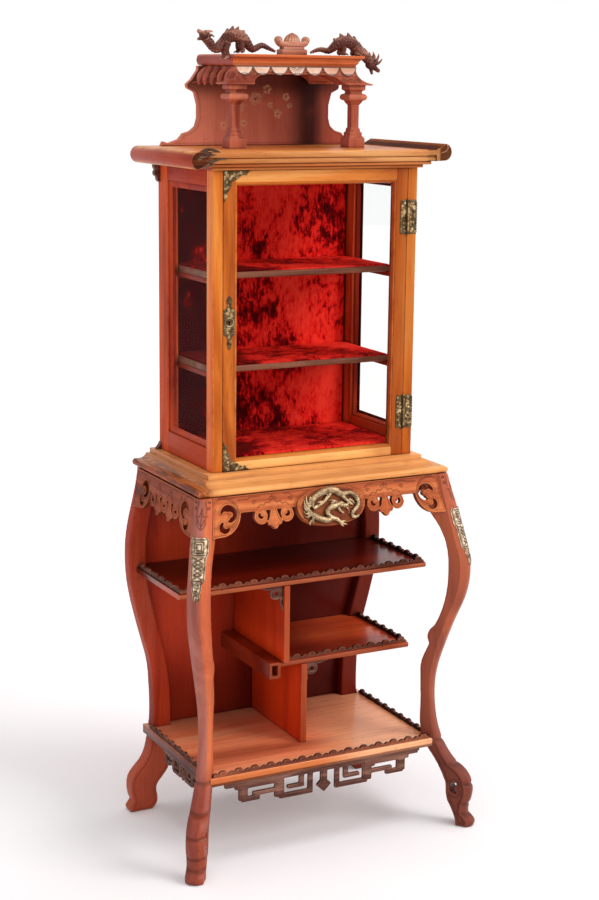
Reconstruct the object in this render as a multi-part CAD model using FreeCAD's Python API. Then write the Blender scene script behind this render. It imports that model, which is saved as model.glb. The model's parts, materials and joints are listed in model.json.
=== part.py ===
import FreeCAD, Part
import math
import os

from FreeCAD import Vector

os.makedirs("parts", exist_ok=True)

# Display cabinet on a cabriole stand. Millimetres, +Z up, the front faces -Y.
# The origin is on the floor, under the middle of the footprint.

# Glazed case
case_width = 478.0
case_depth = 279.0
case_height = 620.0
front_post_width = 23.0
front_post_depth = 31.0
back_post_width = 25.0
back_post_depth = 48.0
post_rounding = 3.0
side_top_rail_height = 32.0
side_bottom_rail_height = 47.0
side_bead_width = 14.0
side_bead_depth = 8.0
side_bead_back_width = 8.0
glass_thickness = 3.0
case_floor_thickness = 22.0
case_ceiling_thickness = 18.0
back_board_thickness = 11.5
velvet_thickness = 7.0
shelf_velvet_thickness = 3.0
velvet_margin = 2.0
case_shelf_thickness = 14.0
case_shelf_heights = (198.0, 394.0)
case_shelf_setback = 59.5
case_shelf_end_gap = 2.0
batten_width = 10.0
batten_height = 10.0
soft_clearance = 0.3
back_bracket_reach = 14.0
back_bracket_height = 39.0
back_bracket_thickness = 12.0
back_foot_height = 21.0

# Door
door_gap = 1.0
door_thickness = 20.0
door_stile_width = 27.0
door_top_rail_height = 24.0
door_bottom_rail_height = 19.0
door_bead_width = 7.0
door_bead_front_depth = 8.0
door_bead_recess = 1.0
door_bead_back_depth = 8.0
stop_gap = 0.5

# Hinges
hinge_height = 72.0
hinge_lower_height = 60.0
hinge_upper_height = 480.0
hinge_leaf_thickness = 1.5
hinge_door_leaf_width = 16.5
hinge_case_leaf_width = 22.0
knuckle_radius = 3.0
knuckle_count = 5
knuckle_gap = 0.4
knuckle_face_clearance = 0.3
pin_radius = 1.5
pin_clearance = 0.05
pin_head_radius = 2.6
pin_head_height = 2.0

# Lock
lock_height = 313.0
lock_case_width = 20.0
lock_case_height = 46.0
lock_case_depth = 7.0
bolt_height = 12.0
bolt_thickness = 4.0
bolt_travel = 8.0
bolt_clearance = 0.3
bolt_length = 18.0
strike_extra_depth = 1.0
keyhole_radius = 2.8
keyhole_slot_width = 2.4
keyhole_slot_length = 7.0
brass_thickness = 1.5
escutcheon_width = 25.0
escutcheon_height = 118.0
corner_mount_width = 62.0
corner_mount_height = 66.0

# Base moulding under the case
bead_height = 15.0
cove_height = 11.0
step_height = 10.0
bead_side_offset = 58.0
bead_front_offset = 62.0
cove_offset_drop = 13.0
step_offset = 17.0

# Cornice and top slab
cornice_layer_height = 7.0
cornice_first_offset = 6.0
cornice_first_front_offset = 10.5
cornice_second_offset = 17.0
cornice_second_front_offset = 25.5
cornice_back_offset = 3.0
slab_thickness = 24.0
slab_side_overhang = 61.0
slab_front_overhang = 35.5
slab_back_overhang = 6.5
slab_lower_thickness = 11.0
slab_lower_inset = 37.0
slab_lower_front_inset = 3.0
slab_left_end_rise = 0.0
slab_right_end_rise = 12.0
slab_end_height = 35.0
slab_end_thickness = 14.0

# Stand
stand_height = 803.0
leg_side_offset = 39.0
leg_front_offset = 48.5
leg_plane_degrees = 53.0
rear_gap = 15.5
toe_reach = 110.0
leg_top_thickness = 34.0
knee_thickness = 44.0
ankle_thickness = 28.0
foot_thickness = 39.0
scroll_hole_radius = 13.0
scroll_hole_reach = 70.0
scroll_hole_height = 88.0
scroll_curl_radius = 8.0
scroll_curl_shift = 6.0
back_leg_inset = 4.0
back_leg_swell = 46.0
back_leg_thickness = 32.0
back_panel_thickness = 12.0
mount_thickness = 2.5
mount_width = 30.0
mount_length = 125.0
mount_drop = 73.0

# Open shelves and dividers of the stand
shelf_thickness = 12.0
shelf_rounding = 5.0
upper_shelf_top = 578.0
upper_shelf_side_reach = 24.0
upper_shelf_setback = 26.5
middle_shelf_top = 392.0
middle_shelf_right = 266.0
middle_shelf_left = 85.0
middle_shelf_setback = 34.0
channel_width = 26.0
channel_height = 36.0
channel_wall = 6.0
bottom_shelf_top = 197.0
bottom_shelf_thickness = 20.0
bottom_shelf_inset = 1.0
bottom_shelf_lip = 21.0
upper_divider_thickness = 13.0
upper_divider_left = 54.0
lower_divider_thickness = 14.0
gallery_height = 13.0
gallery_base = 5.0
gallery_thickness = 6.5
gallery_pitch = 37.0
gallery_inset = 3.0
gallery_leg_room = 23.0
bracket_length = 61.0
bracket_drop = 56.0
bracket_bar = 6.0
bracket_thickness = 7.0
bracket_curl_radius = 13.0
bracket_curl_hole = 6.0
bracket_curl_bite = 2.5
bracket_setback = 8.0

# Aprons and frets
apron_drop = 84.0
apron_thickness = 12.0
apron_rake_degrees = 18.0
side_apron_rake_degrees = 8.0
apron_end_overlap = 10.0
side_apron_end_overlap = 3.0
apron_band = 36.0
end_panel_length = 80.0
pendant_offset = 133.0
curl_radius = 15.0
curl_hole = 6.5
cartouche_half_width = 80.0
cartouche_thickness = 5.0
fret_half_length = 237.0
fret_drop = 58.0
side_fret_half_length = 110.0
side_fret_drop = 38.0
side_fret_start = 40.0
fret_thickness = 8.0
fret_setback = 4.0
brass_dragon_length = 116.0
brass_dragon_drop = 60.0
brass_dragon_radius = 5.5

# Shrine on the slab
shrine_height = 167.0
shrine_back_half_width = 243.0
shrine_back_setback = 15.0
shrine_back_thickness = 12.0
column_offset = 140.0
column_width = 38.0
column_height = 130.0
column_setback = 109.0
roof_thickness = 24.0
roof_top_half_width = 156.0
roof_bottom_half_width = 142.0
roof_top_front = 90.0
roof_bottom_front = 102.0
frieze_half_width = 172.0
frieze_front = 80.0
frieze_top_inset = 30.0
frieze_top_front_inset = 22.0
frieze_height = 37.0
arch_half_width = 108.0
arch_rise = 21.0
side_arch_inset = 52.0
tile_width = 36.0
tile_thickness = 2.0
tile_drop = 18.0
finial_width = 82.0
finial_height = 45.0
finial_depth = 30.0
finial_setback = 125.0
dragon_setback = 120.0
dragon_length = 175.0
dragon_rise = 53.0
dragon_girth = 8.0

overrun = 5.0
meeting_tolerance = 0.0001

# Places worked out from the sizes
case_half = case_width / 2
leg_x = case_half + leg_side_offset
leg_across_share = math.cos(math.radians(leg_plane_degrees))
leg_forward_share = math.sin(math.radians(leg_plane_degrees))
toe_run = leg_forward_share * toe_reach + leg_across_share * foot_thickness / 2
overall_depth = rear_gap + case_depth + leg_front_offset + toe_run
rear_y = overall_depth / 2
case_back_y = rear_y - rear_gap
case_front_y = case_back_y - case_depth
leg_y = case_front_y - leg_front_offset
case_bottom_z = stand_height + bead_height + cove_height + step_height
case_top_z = case_bottom_z + case_height
slab_bottom_z = case_top_z + 2 * cornice_layer_height
slab_top_z = slab_bottom_z + slab_thickness
roof_bottom_z = slab_top_z + shrine_height
roof_top_z = roof_bottom_z + roof_thickness
door_back_y = case_front_y + door_thickness
back_leg_front_y = rear_y - back_leg_thickness
panel_front_y = rear_y - back_panel_thickness
upper_shelf_front_y = case_front_y + upper_shelf_setback
middle_shelf_front_y = case_front_y + middle_shelf_setback
bottom_shelf_front_y = leg_y - bottom_shelf_lip
door_half = case_half - front_post_width - door_gap
velvet_front_y = case_back_y - back_board_thickness - velvet_thickness
shrine_back_y = case_back_y - shrine_back_setback
shrine_board_front_y = shrine_back_y - shrine_back_thickness
frieze_front_y = case_front_y + frieze_front
frieze_low_z = roof_bottom_z - frieze_height

# How far the middle of a rounded corner lies from both faces, as a share of its radius
easing_share = 1 - math.sqrt(0.5)
rounding_limit_share = 0.45


# Geometry helpers

def block(x, y, z):
    """A box between (low, high) pairs."""
    return Part.makeBox(x[1] - x[0], y[1] - y[0], z[1] - z[0], Vector(x[0], y[0], z[0]))


def run_edge(points):
    """Two points make a straight edge, three an arc, more a smooth curve."""
    if len(points) == 2:
        return Part.LineSegment(points[0], points[1]).toShape()
    if len(points) == 3:
        return Part.Arc(points[0], points[1], points[2]).toShape()
    curve = Part.BSplineCurve()
    curve.interpolate(points)
    return curve.toShape()


def closed_face(runs):
    """A face whose rim is the runs of points, joined by straight edges."""
    edges = []
    for run, following in zip(runs, runs[1:] + runs[:1]):
        if len(run) > 1:
            edges.append(run_edge(run))
        if run[-1].distanceToPoint(following[0]) > meeting_tolerance:
            edges.append(Part.LineSegment(run[-1], following[0]).toShape())
    return Part.Face(Part.Wire(edges))


def front_prism(runs, y):
    """Runs of (x, z) points, extruded between two places along y."""
    face = closed_face([[Vector(u, y[0], v) for u, v in run] for run in runs])
    return face.extrude(Vector(0, y[1] - y[0], 0))


def side_prism(runs, x):
    """Runs of (y, z) points, extruded between two places along x."""
    face = closed_face([[Vector(x[0], u, v) for u, v in run] for run in runs])
    return face.extrude(Vector(x[1] - x[0], 0, 0))


def plan_prism(runs, z):
    """Runs of (x, y) points, extruded between two heights."""
    face = closed_face([[Vector(u, v, z[0]) for u, v in run] for run in runs])
    return face.extrude(Vector(0, 0, z[1] - z[0]))


def corners(*points):
    """Straight corners, as runs of one point each."""
    return [[point] for point in points]


def scaled(shares, across, up):
    """Points given as shares of two sizes."""
    return [(u * across, v * up) for u, v in shares]


def mirrored(shape):
    return shape.mirror(Vector(0, 0, 0), Vector(1, 0, 0))


def both_sides(shape):
    return Part.makeCompound([shape, mirrored(shape)])


def join(shapes):
    whole = shapes[0]
    for shape in shapes[1:]:
        whole = whole.fuse(shape)
    return whole.removeSplitter()


def cylinder_along_y(radius, centre, y):
    x, z = centre
    return Part.makeCylinder(radius, y[1] - y[0], Vector(x, y[0], z), Vector(0, 1, 0))


def turned(shape, degrees, move):
    """The shape turned about the upright axis, then moved."""
    result = shape.copy()
    result.rotate(Vector(0, 0, 0), Vector(0, 0, 1), degrees)
    result.translate(move)
    return result


def square_turning(right_runs, left_runs):
    """A moulded post of square plan: one outline cut from the front and from the side."""
    reach = max(abs(u) for run in right_runs for u, v in run)
    span = (-reach, reach)
    return front_prism(right_runs + left_runs, span).common(side_prism(right_runs + left_runs, span))


def mirrored_runs(runs):
    """The left side that matches right-side runs, in the order that closes the outline."""
    return [[(-u, v) for u, v in reversed(run)] for run in reversed(runs)]


def limb(points, radii):
    """A body of round section through the points, tapering as the radii say."""
    pieces = []
    for place, radius in zip(points, radii):
        pieces.append(Part.makeSphere(radius, place))
    for start, end, first, last in zip(points, points[1:], radii, radii[1:]):
        way = end - start
        if first == last:
            pieces.append(Part.makeCylinder(first, way.Length, start, way))
        else:
            pieces.append(Part.makeCone(first, last, way.Length, start, way))
    return join(pieces)


# Legs

front_leg_outer_share = (
    (0.17, 1.0), (0.28, 0.955), (0.41, 0.903), (0.60, 0.818), (0.71, 0.763), (0.71, 0.707),
    (0.62, 0.655), (0.455, 0.60), (0.25, 0.523), (0.07, 0.437), (0.04, 0.36), (0.10, 0.293),
    (0.23, 0.239), (0.38, 0.205), (0.60, 0.172))
front_scroll_outer_share = (
    (0.60, 0.172), (0.73, 0.162), (0.87, 0.138), (0.93, 0.108), (0.90, 0.078), (0.84, 0.048))
front_toe_share = ((0.85, 0.038), (1.0, 0.014), (0.97, 0.0))
front_foot_inner_share = (
    (0.67, 0.0), (0.63, 0.028), (0.55, 0.052), (0.45, 0.082), (0.435, 0.112), (0.37, 0.139))
front_leg_inner_share = (
    (0.37, 0.139), (0.29, 0.162), (0.07, 0.205), (-0.10, 0.238), (-0.16, 0.264), (-0.19, 0.31),
    (-0.19, 0.362), (-0.20, 0.415), (-0.175, 0.466), (-0.06, 0.505), (-0.01, 0.521))
front_bump_share = ((-0.01, 0.521), (-0.045, 0.546), (0.03, 0.566))
front_knee_inner_share = (
    (0.08, 0.571), (0.17, 0.595), (0.35, 0.692), (0.36, 0.7435), (0.33, 0.792), (0.227, 0.8356),
    (0.04, 0.8755))
front_leg_top_share = (-0.13, 0.903)
leg_width_heights_share = (0.17, 0.24, 0.31, 0.38, 0.60, 0.78, 0.90, 1.0)


def front_leg_widths():
    return (foot_thickness, (foot_thickness + ankle_thickness) / 2, ankle_thickness, ankle_thickness,
            knee_thickness, knee_thickness, knee_thickness, leg_top_thickness)


def front_leg_blank(shift):
    """The leg in its own plane, +X outwards, pushed outwards by the shift."""
    def run(shares):
        return [(u + shift, v) for u, v in scaled(shares, toe_reach, stand_height)]
    up = front_leg_top_share[0] * toe_reach + shift
    outline = [run(front_leg_outer_share), run(front_scroll_outer_share)]
    outline += corners(*run(front_toe_share))
    outline += [run(front_foot_inner_share), run(front_leg_inner_share), run(front_bump_share),
                run(front_knee_inner_share)]
    outline += corners((up, front_leg_top_share[1] * stand_height), (up, stand_height))
    profile = front_prism(outline, (-knee_thickness, knee_thickness))
    edge = [(w / 2, v * stand_height) for w, v in zip(front_leg_widths(), leg_width_heights_share)]
    right = corners((foot_thickness / 2, 0)) + [edge]
    reach = (-toe_reach, 2 * toe_reach)
    return profile.common(side_prism(right + mirrored_runs(right), reach))


def front_leg(side):
    """A leg with its scroll foot, pierced by a crescent round a curl."""
    through = (-knee_thickness, knee_thickness)
    place = (scroll_hole_reach, scroll_hole_height)
    hole = cylinder_along_y(scroll_hole_radius, place, through)
    curl_place = (scroll_hole_reach + scroll_curl_shift, scroll_hole_height)
    hole = hole.cut(cylinder_along_y(scroll_curl_radius, curl_place, through))
    return turned(front_leg_blank(0).cut(hole), front_leg_angle(side), Vector(side * leg_x, leg_y, 0))


def front_leg_angle(side):
    return -leg_plane_degrees if side > 0 else leg_plane_degrees - 180.0


def leg_mount(side):
    """Cast mount that follows the outer edge of the knee."""
    half = mount_width / 2
    mount_top = stand_height - mount_drop
    zone = block((0, 2 * toe_reach), (-half, half), (mount_top - mount_length, mount_top))
    mount = front_leg_blank(mount_thickness).common(zone).cut(front_leg_blank(0))
    return turned(mount, front_leg_angle(side), Vector(side * leg_x, leg_y, 0))


back_leg_outer_share = (
    (0.26, 1.0), (0.52, 0.913), (0.85, 0.83), (0.97, 0.753), (0.85, 0.66), (0.59, 0.589),
    (0.17, 0.498), (-0.12, 0.43), (-0.22, 0.361), (-0.24, 0.27), (-0.11, 0.214), (0.33, 0.143),
    (0.91, 0.103), (1.0, 0.075), (0.83, 0.03))
back_toe_share = ((1.065, 0.012), (1.0, 0.0))
back_foot_inner_share = (
    (-0.15, 0.0), (-0.41, 0.044), (-0.37, 0.062), (-0.70, 0.093), (-1.07, 0.13))
back_leg_inner_share = (
    (-1.07, 0.13), (-1.12, 0.214), (-1.09, 0.361), (-0.70, 0.498), (-0.28, 0.589), (0.11, 0.753),
    (-0.25, 0.90), (-0.52, 1.0))


def back_leg_run(shares):
    return [(leg_x - back_leg_inset + u, v) for u, v in scaled(shares, back_leg_swell, stand_height)]


def back_leg():
    outline = [back_leg_run(back_leg_outer_share)]
    outline += corners(*back_leg_run(back_toe_share))
    outline += [back_leg_run(back_foot_inner_share), back_leg_run(back_leg_inner_share)]
    return front_prism(outline, (back_leg_front_y, rear_y))


def stand_back_panel():
    """Board between the back legs, from the bottom shelf up to the base moulding."""
    inner = back_leg_run(back_leg_inner_share)
    outline = [inner] + mirrored_runs([inner])
    board = front_prism(outline, (panel_front_y, rear_y))
    room = block((-case_width, case_width), (panel_front_y, rear_y), (bottom_shelf_top, stand_height))
    return board.common(room)


# Open shelves of the stand

def rounded_board(x, y, z, rounding):
    """A board whose front edge is rounded above and below."""
    low, high = z
    front, back = y
    radius = min(rounding, rounding_limit_share * (high - low))
    eased = radius * easing_share
    nose = [[(front + radius, low), (front + eased, low + eased), (front, low + radius)],
            [(front, high - radius), (front + eased, high - eased), (front + radius, high)]]
    return side_prism(nose + corners((back, high), (back, low)), x)


wave_crest_share = 0.62


def gallery_strip(length):
    """A strip of breaking waves along +X from the origin, standing on z = 0."""
    count = max(1, round(length / gallery_pitch))
    step = length / count
    runs = corners((length, 0), (0, 0))
    for index in range(count):
        start = index * step
        crest = start + wave_crest_share * step
        runs.append([(start, gallery_base), (crest, gallery_height), (start + step, gallery_base)])
    return front_prism(runs, (0, gallery_thickness))


def front_gallery(left, right, front, height):
    return turned(gallery_strip(right - left), 0, Vector(left, front, height))


def side_gallery(outer, front, back, height):
    """A wave strip along a side, its outer face at the given place."""
    start = outer + gallery_thickness if outer < 0 else outer
    return turned(gallery_strip(back - front), 90.0, Vector(start, front, height))


def upper_shelf(legs):
    half = leg_x + upper_shelf_side_reach
    low = upper_shelf_top - shelf_thickness
    board = rounded_board((-half, half), (upper_shelf_front_y, panel_front_y),
                          (low, upper_shelf_top), shelf_rounding)
    return board.cut(legs)


def upper_gallery():
    half = leg_x + upper_shelf_side_reach - gallery_inset
    front = upper_shelf_front_y + gallery_inset
    behind = front + gallery_thickness
    return Part.makeCompound([
        front_gallery(-half, half, front, upper_shelf_top),
        side_gallery(-half, behind, back_leg_front_y, upper_shelf_top),
        side_gallery(half, behind, back_leg_front_y, upper_shelf_top)])


def middle_shelf(legs):
    """Shelf that ends on the left in a square channel, open at the front."""
    left = -middle_shelf_left
    y = (middle_shelf_front_y, panel_front_y)
    board = rounded_board((left, middle_shelf_right), y,
                          (middle_shelf_top - shelf_thickness, middle_shelf_top), shelf_rounding)
    z = (middle_shelf_top - channel_height, middle_shelf_top)
    shell = block((left, left + channel_width), y, z)
    hollow = block((left + channel_wall, left + channel_width - channel_wall),
                   (y[0] - overrun, y[1] + overrun), (z[0] + channel_wall, z[1] - channel_wall))
    return join([board, shell]).cut(hollow).cut(legs)


def middle_gallery():
    front = middle_shelf_front_y + gallery_inset
    right = middle_shelf_right - gallery_inset
    left = -upper_divider_left + upper_divider_thickness
    return Part.makeCompound([
        front_gallery(left, right, front, middle_shelf_top),
        side_gallery(right, front + gallery_thickness, back_leg_front_y, middle_shelf_top)])


def bottom_shelf(legs):
    half = leg_x - bottom_shelf_inset
    low = bottom_shelf_top - bottom_shelf_thickness
    board = rounded_board((-half, half), (bottom_shelf_front_y, rear_y), (low, bottom_shelf_top),
                          shelf_rounding)
    return board.cut(legs)


def bottom_gallery():
    half = leg_x - bottom_shelf_inset - gallery_inset
    front = bottom_shelf_front_y + gallery_inset
    end = leg_flat_x(front + gallery_thickness)
    start = leg_y + gallery_leg_room
    return Part.makeCompound([
        front_gallery(-end, end, front, bottom_shelf_top),
        side_gallery(-half, start, back_leg_front_y, bottom_shelf_top),
        side_gallery(half, start, back_leg_front_y, bottom_shelf_top)])


def leg_flat_x(y):
    """Where the flat side of the right front leg stands at a place along y, above its foot."""
    half = (foot_thickness + ankle_thickness) / 4
    forward = leg_y - y
    return leg_x - (half - forward * leg_across_share) / leg_forward_share


def upper_divider():
    left = -upper_divider_left
    return block((left, left + upper_divider_thickness), (upper_shelf_front_y, panel_front_y),
                 (middle_shelf_top, upper_shelf_top - shelf_thickness))


def lower_divider():
    half = lower_divider_thickness / 2
    return block((-half, half), (middle_shelf_front_y, panel_front_y),
                 (bottom_shelf_top, middle_shelf_top - shelf_thickness))


bracket_taper_share = ((1.0, 0.0), (0.8, 0.5), (0.62, 1.0))


def fret_bracket(side, corner_x, top_z, front):
    """Pierced corner bracket between an upright board and the shelf above it."""
    y = (front, front + bracket_thickness)
    bar = bracket_bar
    inwards = bracket_curl_radius - bracket_curl_bite
    curl_centre = (bar + inwards, -bar - inwards)
    along_top = [(u * bracket_length, -v * bar) for u, v in bracket_taper_share]
    along_post = [(v * bar, -u * bracket_drop) for u, v in reversed(bracket_taper_share)]
    top = front_prism([along_top] + corners((0, -bar), (0, 0)), y)
    post = front_prism([along_post] + corners((0, 0), (bar, 0)), y)
    disc = cylinder_along_y(bracket_curl_radius, curl_centre, y)
    eye = cylinder_along_y(bracket_curl_hole, curl_centre, (y[0] - overrun, y[1] + overrun))
    piece = join([top, post, disc]).cut(eye)
    if side < 0:
        piece = mirrored(piece)
    piece.translate(Vector(corner_x, 0, top_z))
    return piece


# Aprons and frets

def curl(centre, y):
    outer = cylinder_along_y(curl_radius, centre, y)
    return outer.cut(cylinder_along_y(curl_hole, centre, (y[0] - overrun, y[1] + overrun)))


leaf_share = ((0.0, -0.30), (0.5, -0.45), (0.78, -0.72), (0.0, -0.92))
curl_drop_share = 0.7


def pendant(middle, y):
    """Two curls with a leaf between them, hanging from the apron's band."""
    reach = 2 * curl_radius
    centre_z = -apron_band - curl_drop_share * curl_radius
    leaf_points = [(middle + u * curl_radius, v * apron_drop) for u, v in leaf_share]
    other = [(2 * middle - u, v) for u, v in reversed(leaf_points)]
    leaf = front_prism([leaf_points, other], y)
    return [curl((middle - reach, centre_z), y), curl((middle + reach, centre_z), y), leaf]


end_corner_share = ((0.2, -0.82), (0.5, -0.97))

# Each crescent: its place along and down the end, its radius, the shift and the radius of its core
end_crescents_share = (
    (0.34, -0.42, 0.23, 0.09, -0.06, 0.13),
    (0.50, -0.75, 0.15, -0.05, 0.06, 0.09))


def end_panel(outer, y):
    """The broad end of an apron, its outer side at the given place."""
    inner = outer - end_panel_length
    corner = [(inner + u * end_panel_length, v * apron_drop) for u, v in end_corner_share]
    rim = [[(inner, -apron_band)] + corner] + corners((outer, -apron_drop), (outer, 0), (inner, 0))
    return front_prism(rim, y)


def end_crescents(outer, y):
    """The crescents that pierce an apron's end."""
    inner = outer - end_panel_length
    crescents = []
    for along, down, radius, core_along, core_up, core_radius in end_crescents_share:
        centre = (inner + along * end_panel_length, down * apron_drop)
        core = (centre[0] + core_along * end_panel_length, centre[1] + core_up * end_panel_length)
        whole = cylinder_along_y(radius * end_panel_length, centre, y)
        crescents.append(whole.cut(cylinder_along_y(core_radius * end_panel_length, core, y)))
    return Part.makeCompound(crescents)


cartouche_share = (
    (0.0, -1.0), (0.34, -0.97), (0.55, -0.93), (0.83, -0.80), (1.0, -0.55), (0.97, -0.30),
    (0.80, -0.18), (0.5, -0.06), (0.0, -0.03))


def cartouche(y):
    right = scaled(cartouche_share, cartouche_half_width, apron_drop)
    left = [(-u, v) for u, v in reversed(right)]
    return front_prism([right, left], y)


def raked(piece, degrees):
    """Leans a piece out at the bottom about its top front edge."""
    result = piece.copy()
    result.rotate(Vector(0, 0, 0), Vector(1, 0, 0), -degrees)
    return result


def apron_blank(half_length, middles, with_cartouche, degrees):
    """An apron along X, leaned out and cut level with z = 0, its face through the origin."""
    y = (0, apron_thickness)
    pieces = [block((-half_length, half_length), y, (-apron_band, apron_thickness))]
    for middle in middles:
        pieces += pendant(middle, y)
    panel = end_panel(half_length, y)
    pieces += [panel, mirrored(panel)]
    if with_cartouche:
        pieces.append(cartouche((-cartouche_thickness, apron_thickness)))
    holes = end_crescents(half_length, (-overrun, apron_thickness + overrun))
    board = raked(join(pieces).cut(holes).cut(mirrored(holes)), degrees)
    below = block((-half_length, half_length), (-apron_drop, apron_drop), (-2 * apron_drop, 0))
    return board.common(below)


def front_apron(legs):
    half = leg_x + apron_end_overlap
    board = apron_blank(half, (-pendant_offset, pendant_offset), True, apron_rake_degrees)
    board.translate(Vector(0, case_front_y - bead_front_offset, stand_height))
    return board.cut(legs)


def side_apron(side, legs):
    front = leg_y - side_apron_end_overlap
    half = (back_leg_front_y - front) / 2
    board = apron_blank(half, (-2 * curl_radius, 2 * curl_radius), False, side_apron_rake_degrees)
    middle = (front + back_leg_front_y) / 2
    placed = turned(board, 90.0 * side, Vector(side * (case_half + bead_side_offset), middle, stand_height))
    return placed.cut(legs)


fret_bars_share = (
    (0.0, 1.0, 0.0, 0.16), (0.42, 0.9, 0.10, 0.29), (0.78, 0.86, 0.20, 0.74),
    (0.66, 0.84, 0.66, 0.80), (0.48, 0.72, 0.50, 0.63), (0.44, 0.50, 0.20, 0.86),
    (0.12, 0.455, 0.80, 0.95), (0.12, 0.158, 0.10, 0.95), (0.415, 0.455, 0.20, 0.95),
    (0.21, 0.25, 0.10, 0.62), (0.21, 0.37, 0.50, 0.62), (0.0, 0.03, 0.10, 0.60))
fret_drop_share = ((0.0, 0.45), (0.07, 0.72), (0.0, 1.0), (-0.07, 0.72))


def key_fret(half_length, drop):
    """Angular fretwork that hangs from z = 0, centred on x = 0."""
    y = (0, fret_thickness)
    bars = []
    for left, right, top, bottom in fret_bars_share:
        bars.append(block((left * half_length, right * half_length), y, (-bottom * drop, -top * drop)))
    half = join(bars)
    centre = front_prism(corners(*[(u * half_length, -v * drop) for u, v in fret_drop_share]), y)
    return join([half, mirrored(half), centre])


def front_lower_fret(legs):
    fret = key_fret(fret_half_length, fret_drop)
    fret.translate(Vector(0, bottom_shelf_front_y + fret_setback, bottom_shelf_top - bottom_shelf_thickness))
    return fret.cut(legs)


def side_lower_frets():
    outer = leg_x - bottom_shelf_inset - fret_setback
    middle = bottom_shelf_front_y + side_fret_start + side_fret_half_length
    z = bottom_shelf_top - bottom_shelf_thickness
    fret = key_fret(side_fret_half_length, side_fret_drop)
    return Part.makeCompound([turned(fret, 90.0 * side, Vector(side * outer, middle, z)) for side in (-1, 1)])


brass_dragon_share = (
    (-0.50, -0.62), (-0.44, -0.30), (-0.28, -0.12), (-0.08, -0.22), (0.02, -0.45), (0.18, -0.55),
    (0.34, -0.40), (0.46, -0.22), (0.50, -0.55), (0.36, -0.82), (0.10, -0.90), (-0.16, -0.80),
    (-0.24, -0.55))
brass_dragon_girth_share = (0.5, 0.8, 1.0, 1.1, 1.1, 1.1, 1.0, 0.9, 0.8, 0.75, 0.7, 0.8, 1.1)


def apron_dragon_mount():
    """Cast dragon laid in coils on the cartouche, flat at the back."""
    radius = brass_dragon_radius
    top = -(apron_drop - brass_dragon_drop) / 2
    points = [Vector(u * brass_dragon_length, -cartouche_thickness, top + v * brass_dragon_drop)
              for u, v in brass_dragon_share]
    body = limb(points, [share * radius for share in brass_dragon_girth_share])
    reach = brass_dragon_length
    front_half = block((-reach, reach), (-reach, -cartouche_thickness), (-reach, reach))
    mount = raked(body.common(front_half), apron_rake_degrees)
    mount.translate(Vector(0, case_front_y - bead_front_offset, stand_height))
    return mount


# Base moulding, cornice and slab

def base_moulding():
    """Deck with a bead, a cove and a step, flush with the back legs behind."""
    def outline(reach, step):
        """The profile upwards, on the side where its places grow outwards."""
        nose = reach - bead_height / 2
        cove = reach - cove_offset_drop
        step_foot = step + step_offset / 2
        hollow = (cove + step) / 2
        return [[(nose, z0), (reach, (z0 + z1) / 2), (nose, z1)],
                [(cove, z1), (hollow, z1 + cove_height / 3), (step_foot, z2)],
                [(step, z2), (step, z3)]]
    z0 = stand_height
    z1 = z0 + bead_height
    z2 = z1 + cove_height
    z3 = z2 + step_height
    bead_x = case_half + bead_side_offset
    bead_y = case_front_y - bead_front_offset
    right = outline(bead_x, case_half + step_offset)
    across = front_prism(right + mirrored_runs(right), (bead_y, rear_y))
    front = mirrored_runs(outline(-bead_y, step_offset - case_front_y))
    along = side_prism(front + corners((rear_y, z0), (rear_y, z3)), (-bead_x, bead_x))
    return across.common(along)


def cornice_moulding():
    """Two stepped layers under the slab."""
    back = case_back_y + cornice_back_offset
    layers = []
    z = case_top_z
    for side, front in ((cornice_first_offset, cornice_first_front_offset),
                        (cornice_second_offset, cornice_second_front_offset)):
        half = case_half + side
        layers.append(rounded_board((-half, half), (case_front_y - front, back),
                                    (z, z + cornice_layer_height), shelf_rounding))
        z += cornice_layer_height
    return join(layers)


def slab_end(rise):
    """The rolled end on the right; the rise is how far it stands above the slab."""
    half = case_half + slab_side_overhang
    shoulder = half - slab_end_thickness
    high = slab_top_z + rise
    low = high - slab_end_height
    root = half - slab_lower_inset
    roll = [[(shoulder, low), (half, (low + high) / 2), (shoulder, high)]]
    return front_prism(roll + corners((root, slab_top_z), (root, slab_bottom_z)), slab_y())


def slab_y():
    return case_front_y - slab_front_overhang, case_back_y + slab_back_overhang


def top_slab():
    """Board with a double rounded front, rolled at both ends."""
    half = case_half + slab_side_overhang
    front, back = slab_y()
    split = slab_bottom_z + slab_lower_thickness
    lower_half = half - slab_lower_inset
    lower = rounded_board((-lower_half, lower_half), (front + slab_lower_front_inset, back),
                          (slab_bottom_z, split), shelf_rounding)
    board_half = half - slab_end_thickness
    upper = rounded_board((-board_half, board_half), (front, back), (split, slab_top_z), shelf_rounding)
    return join([lower, upper, slab_end(slab_right_end_rise), mirrored(slab_end(slab_left_end_rise))])


# Glazed case

def case_post(x, y):
    """A right-hand corner post, its two outer upright edges eased."""
    radius = post_rounding
    eased = radius * easing_share
    outline = corners((x[0], y[1]), (x[0], y[0]))
    outline += [[(x[1] - radius, y[0]), (x[1] - eased, y[0] + eased), (x[1], y[0] + radius)],
                [(x[1], y[1] - radius), (x[1] - eased, y[1] - eased), (x[1] - radius, y[1])]]
    return plan_prism(outline, (case_bottom_z, case_top_z))


def front_post():
    return case_post((case_half - front_post_width, case_half),
                     (case_front_y, case_front_y + front_post_depth))


def strike_mortise():
    """Room for the lock's bolt in the left front post."""
    edge = -(case_half - front_post_width)
    z = case_bottom_z + lock_height
    half = bolt_height / 2 + bolt_clearance
    y = bolt_y()
    return block((edge - bolt_travel - strike_extra_depth, edge + overrun),
                 (y[0] - bolt_clearance, y[1] + bolt_clearance), (z - half, z + half))


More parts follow.
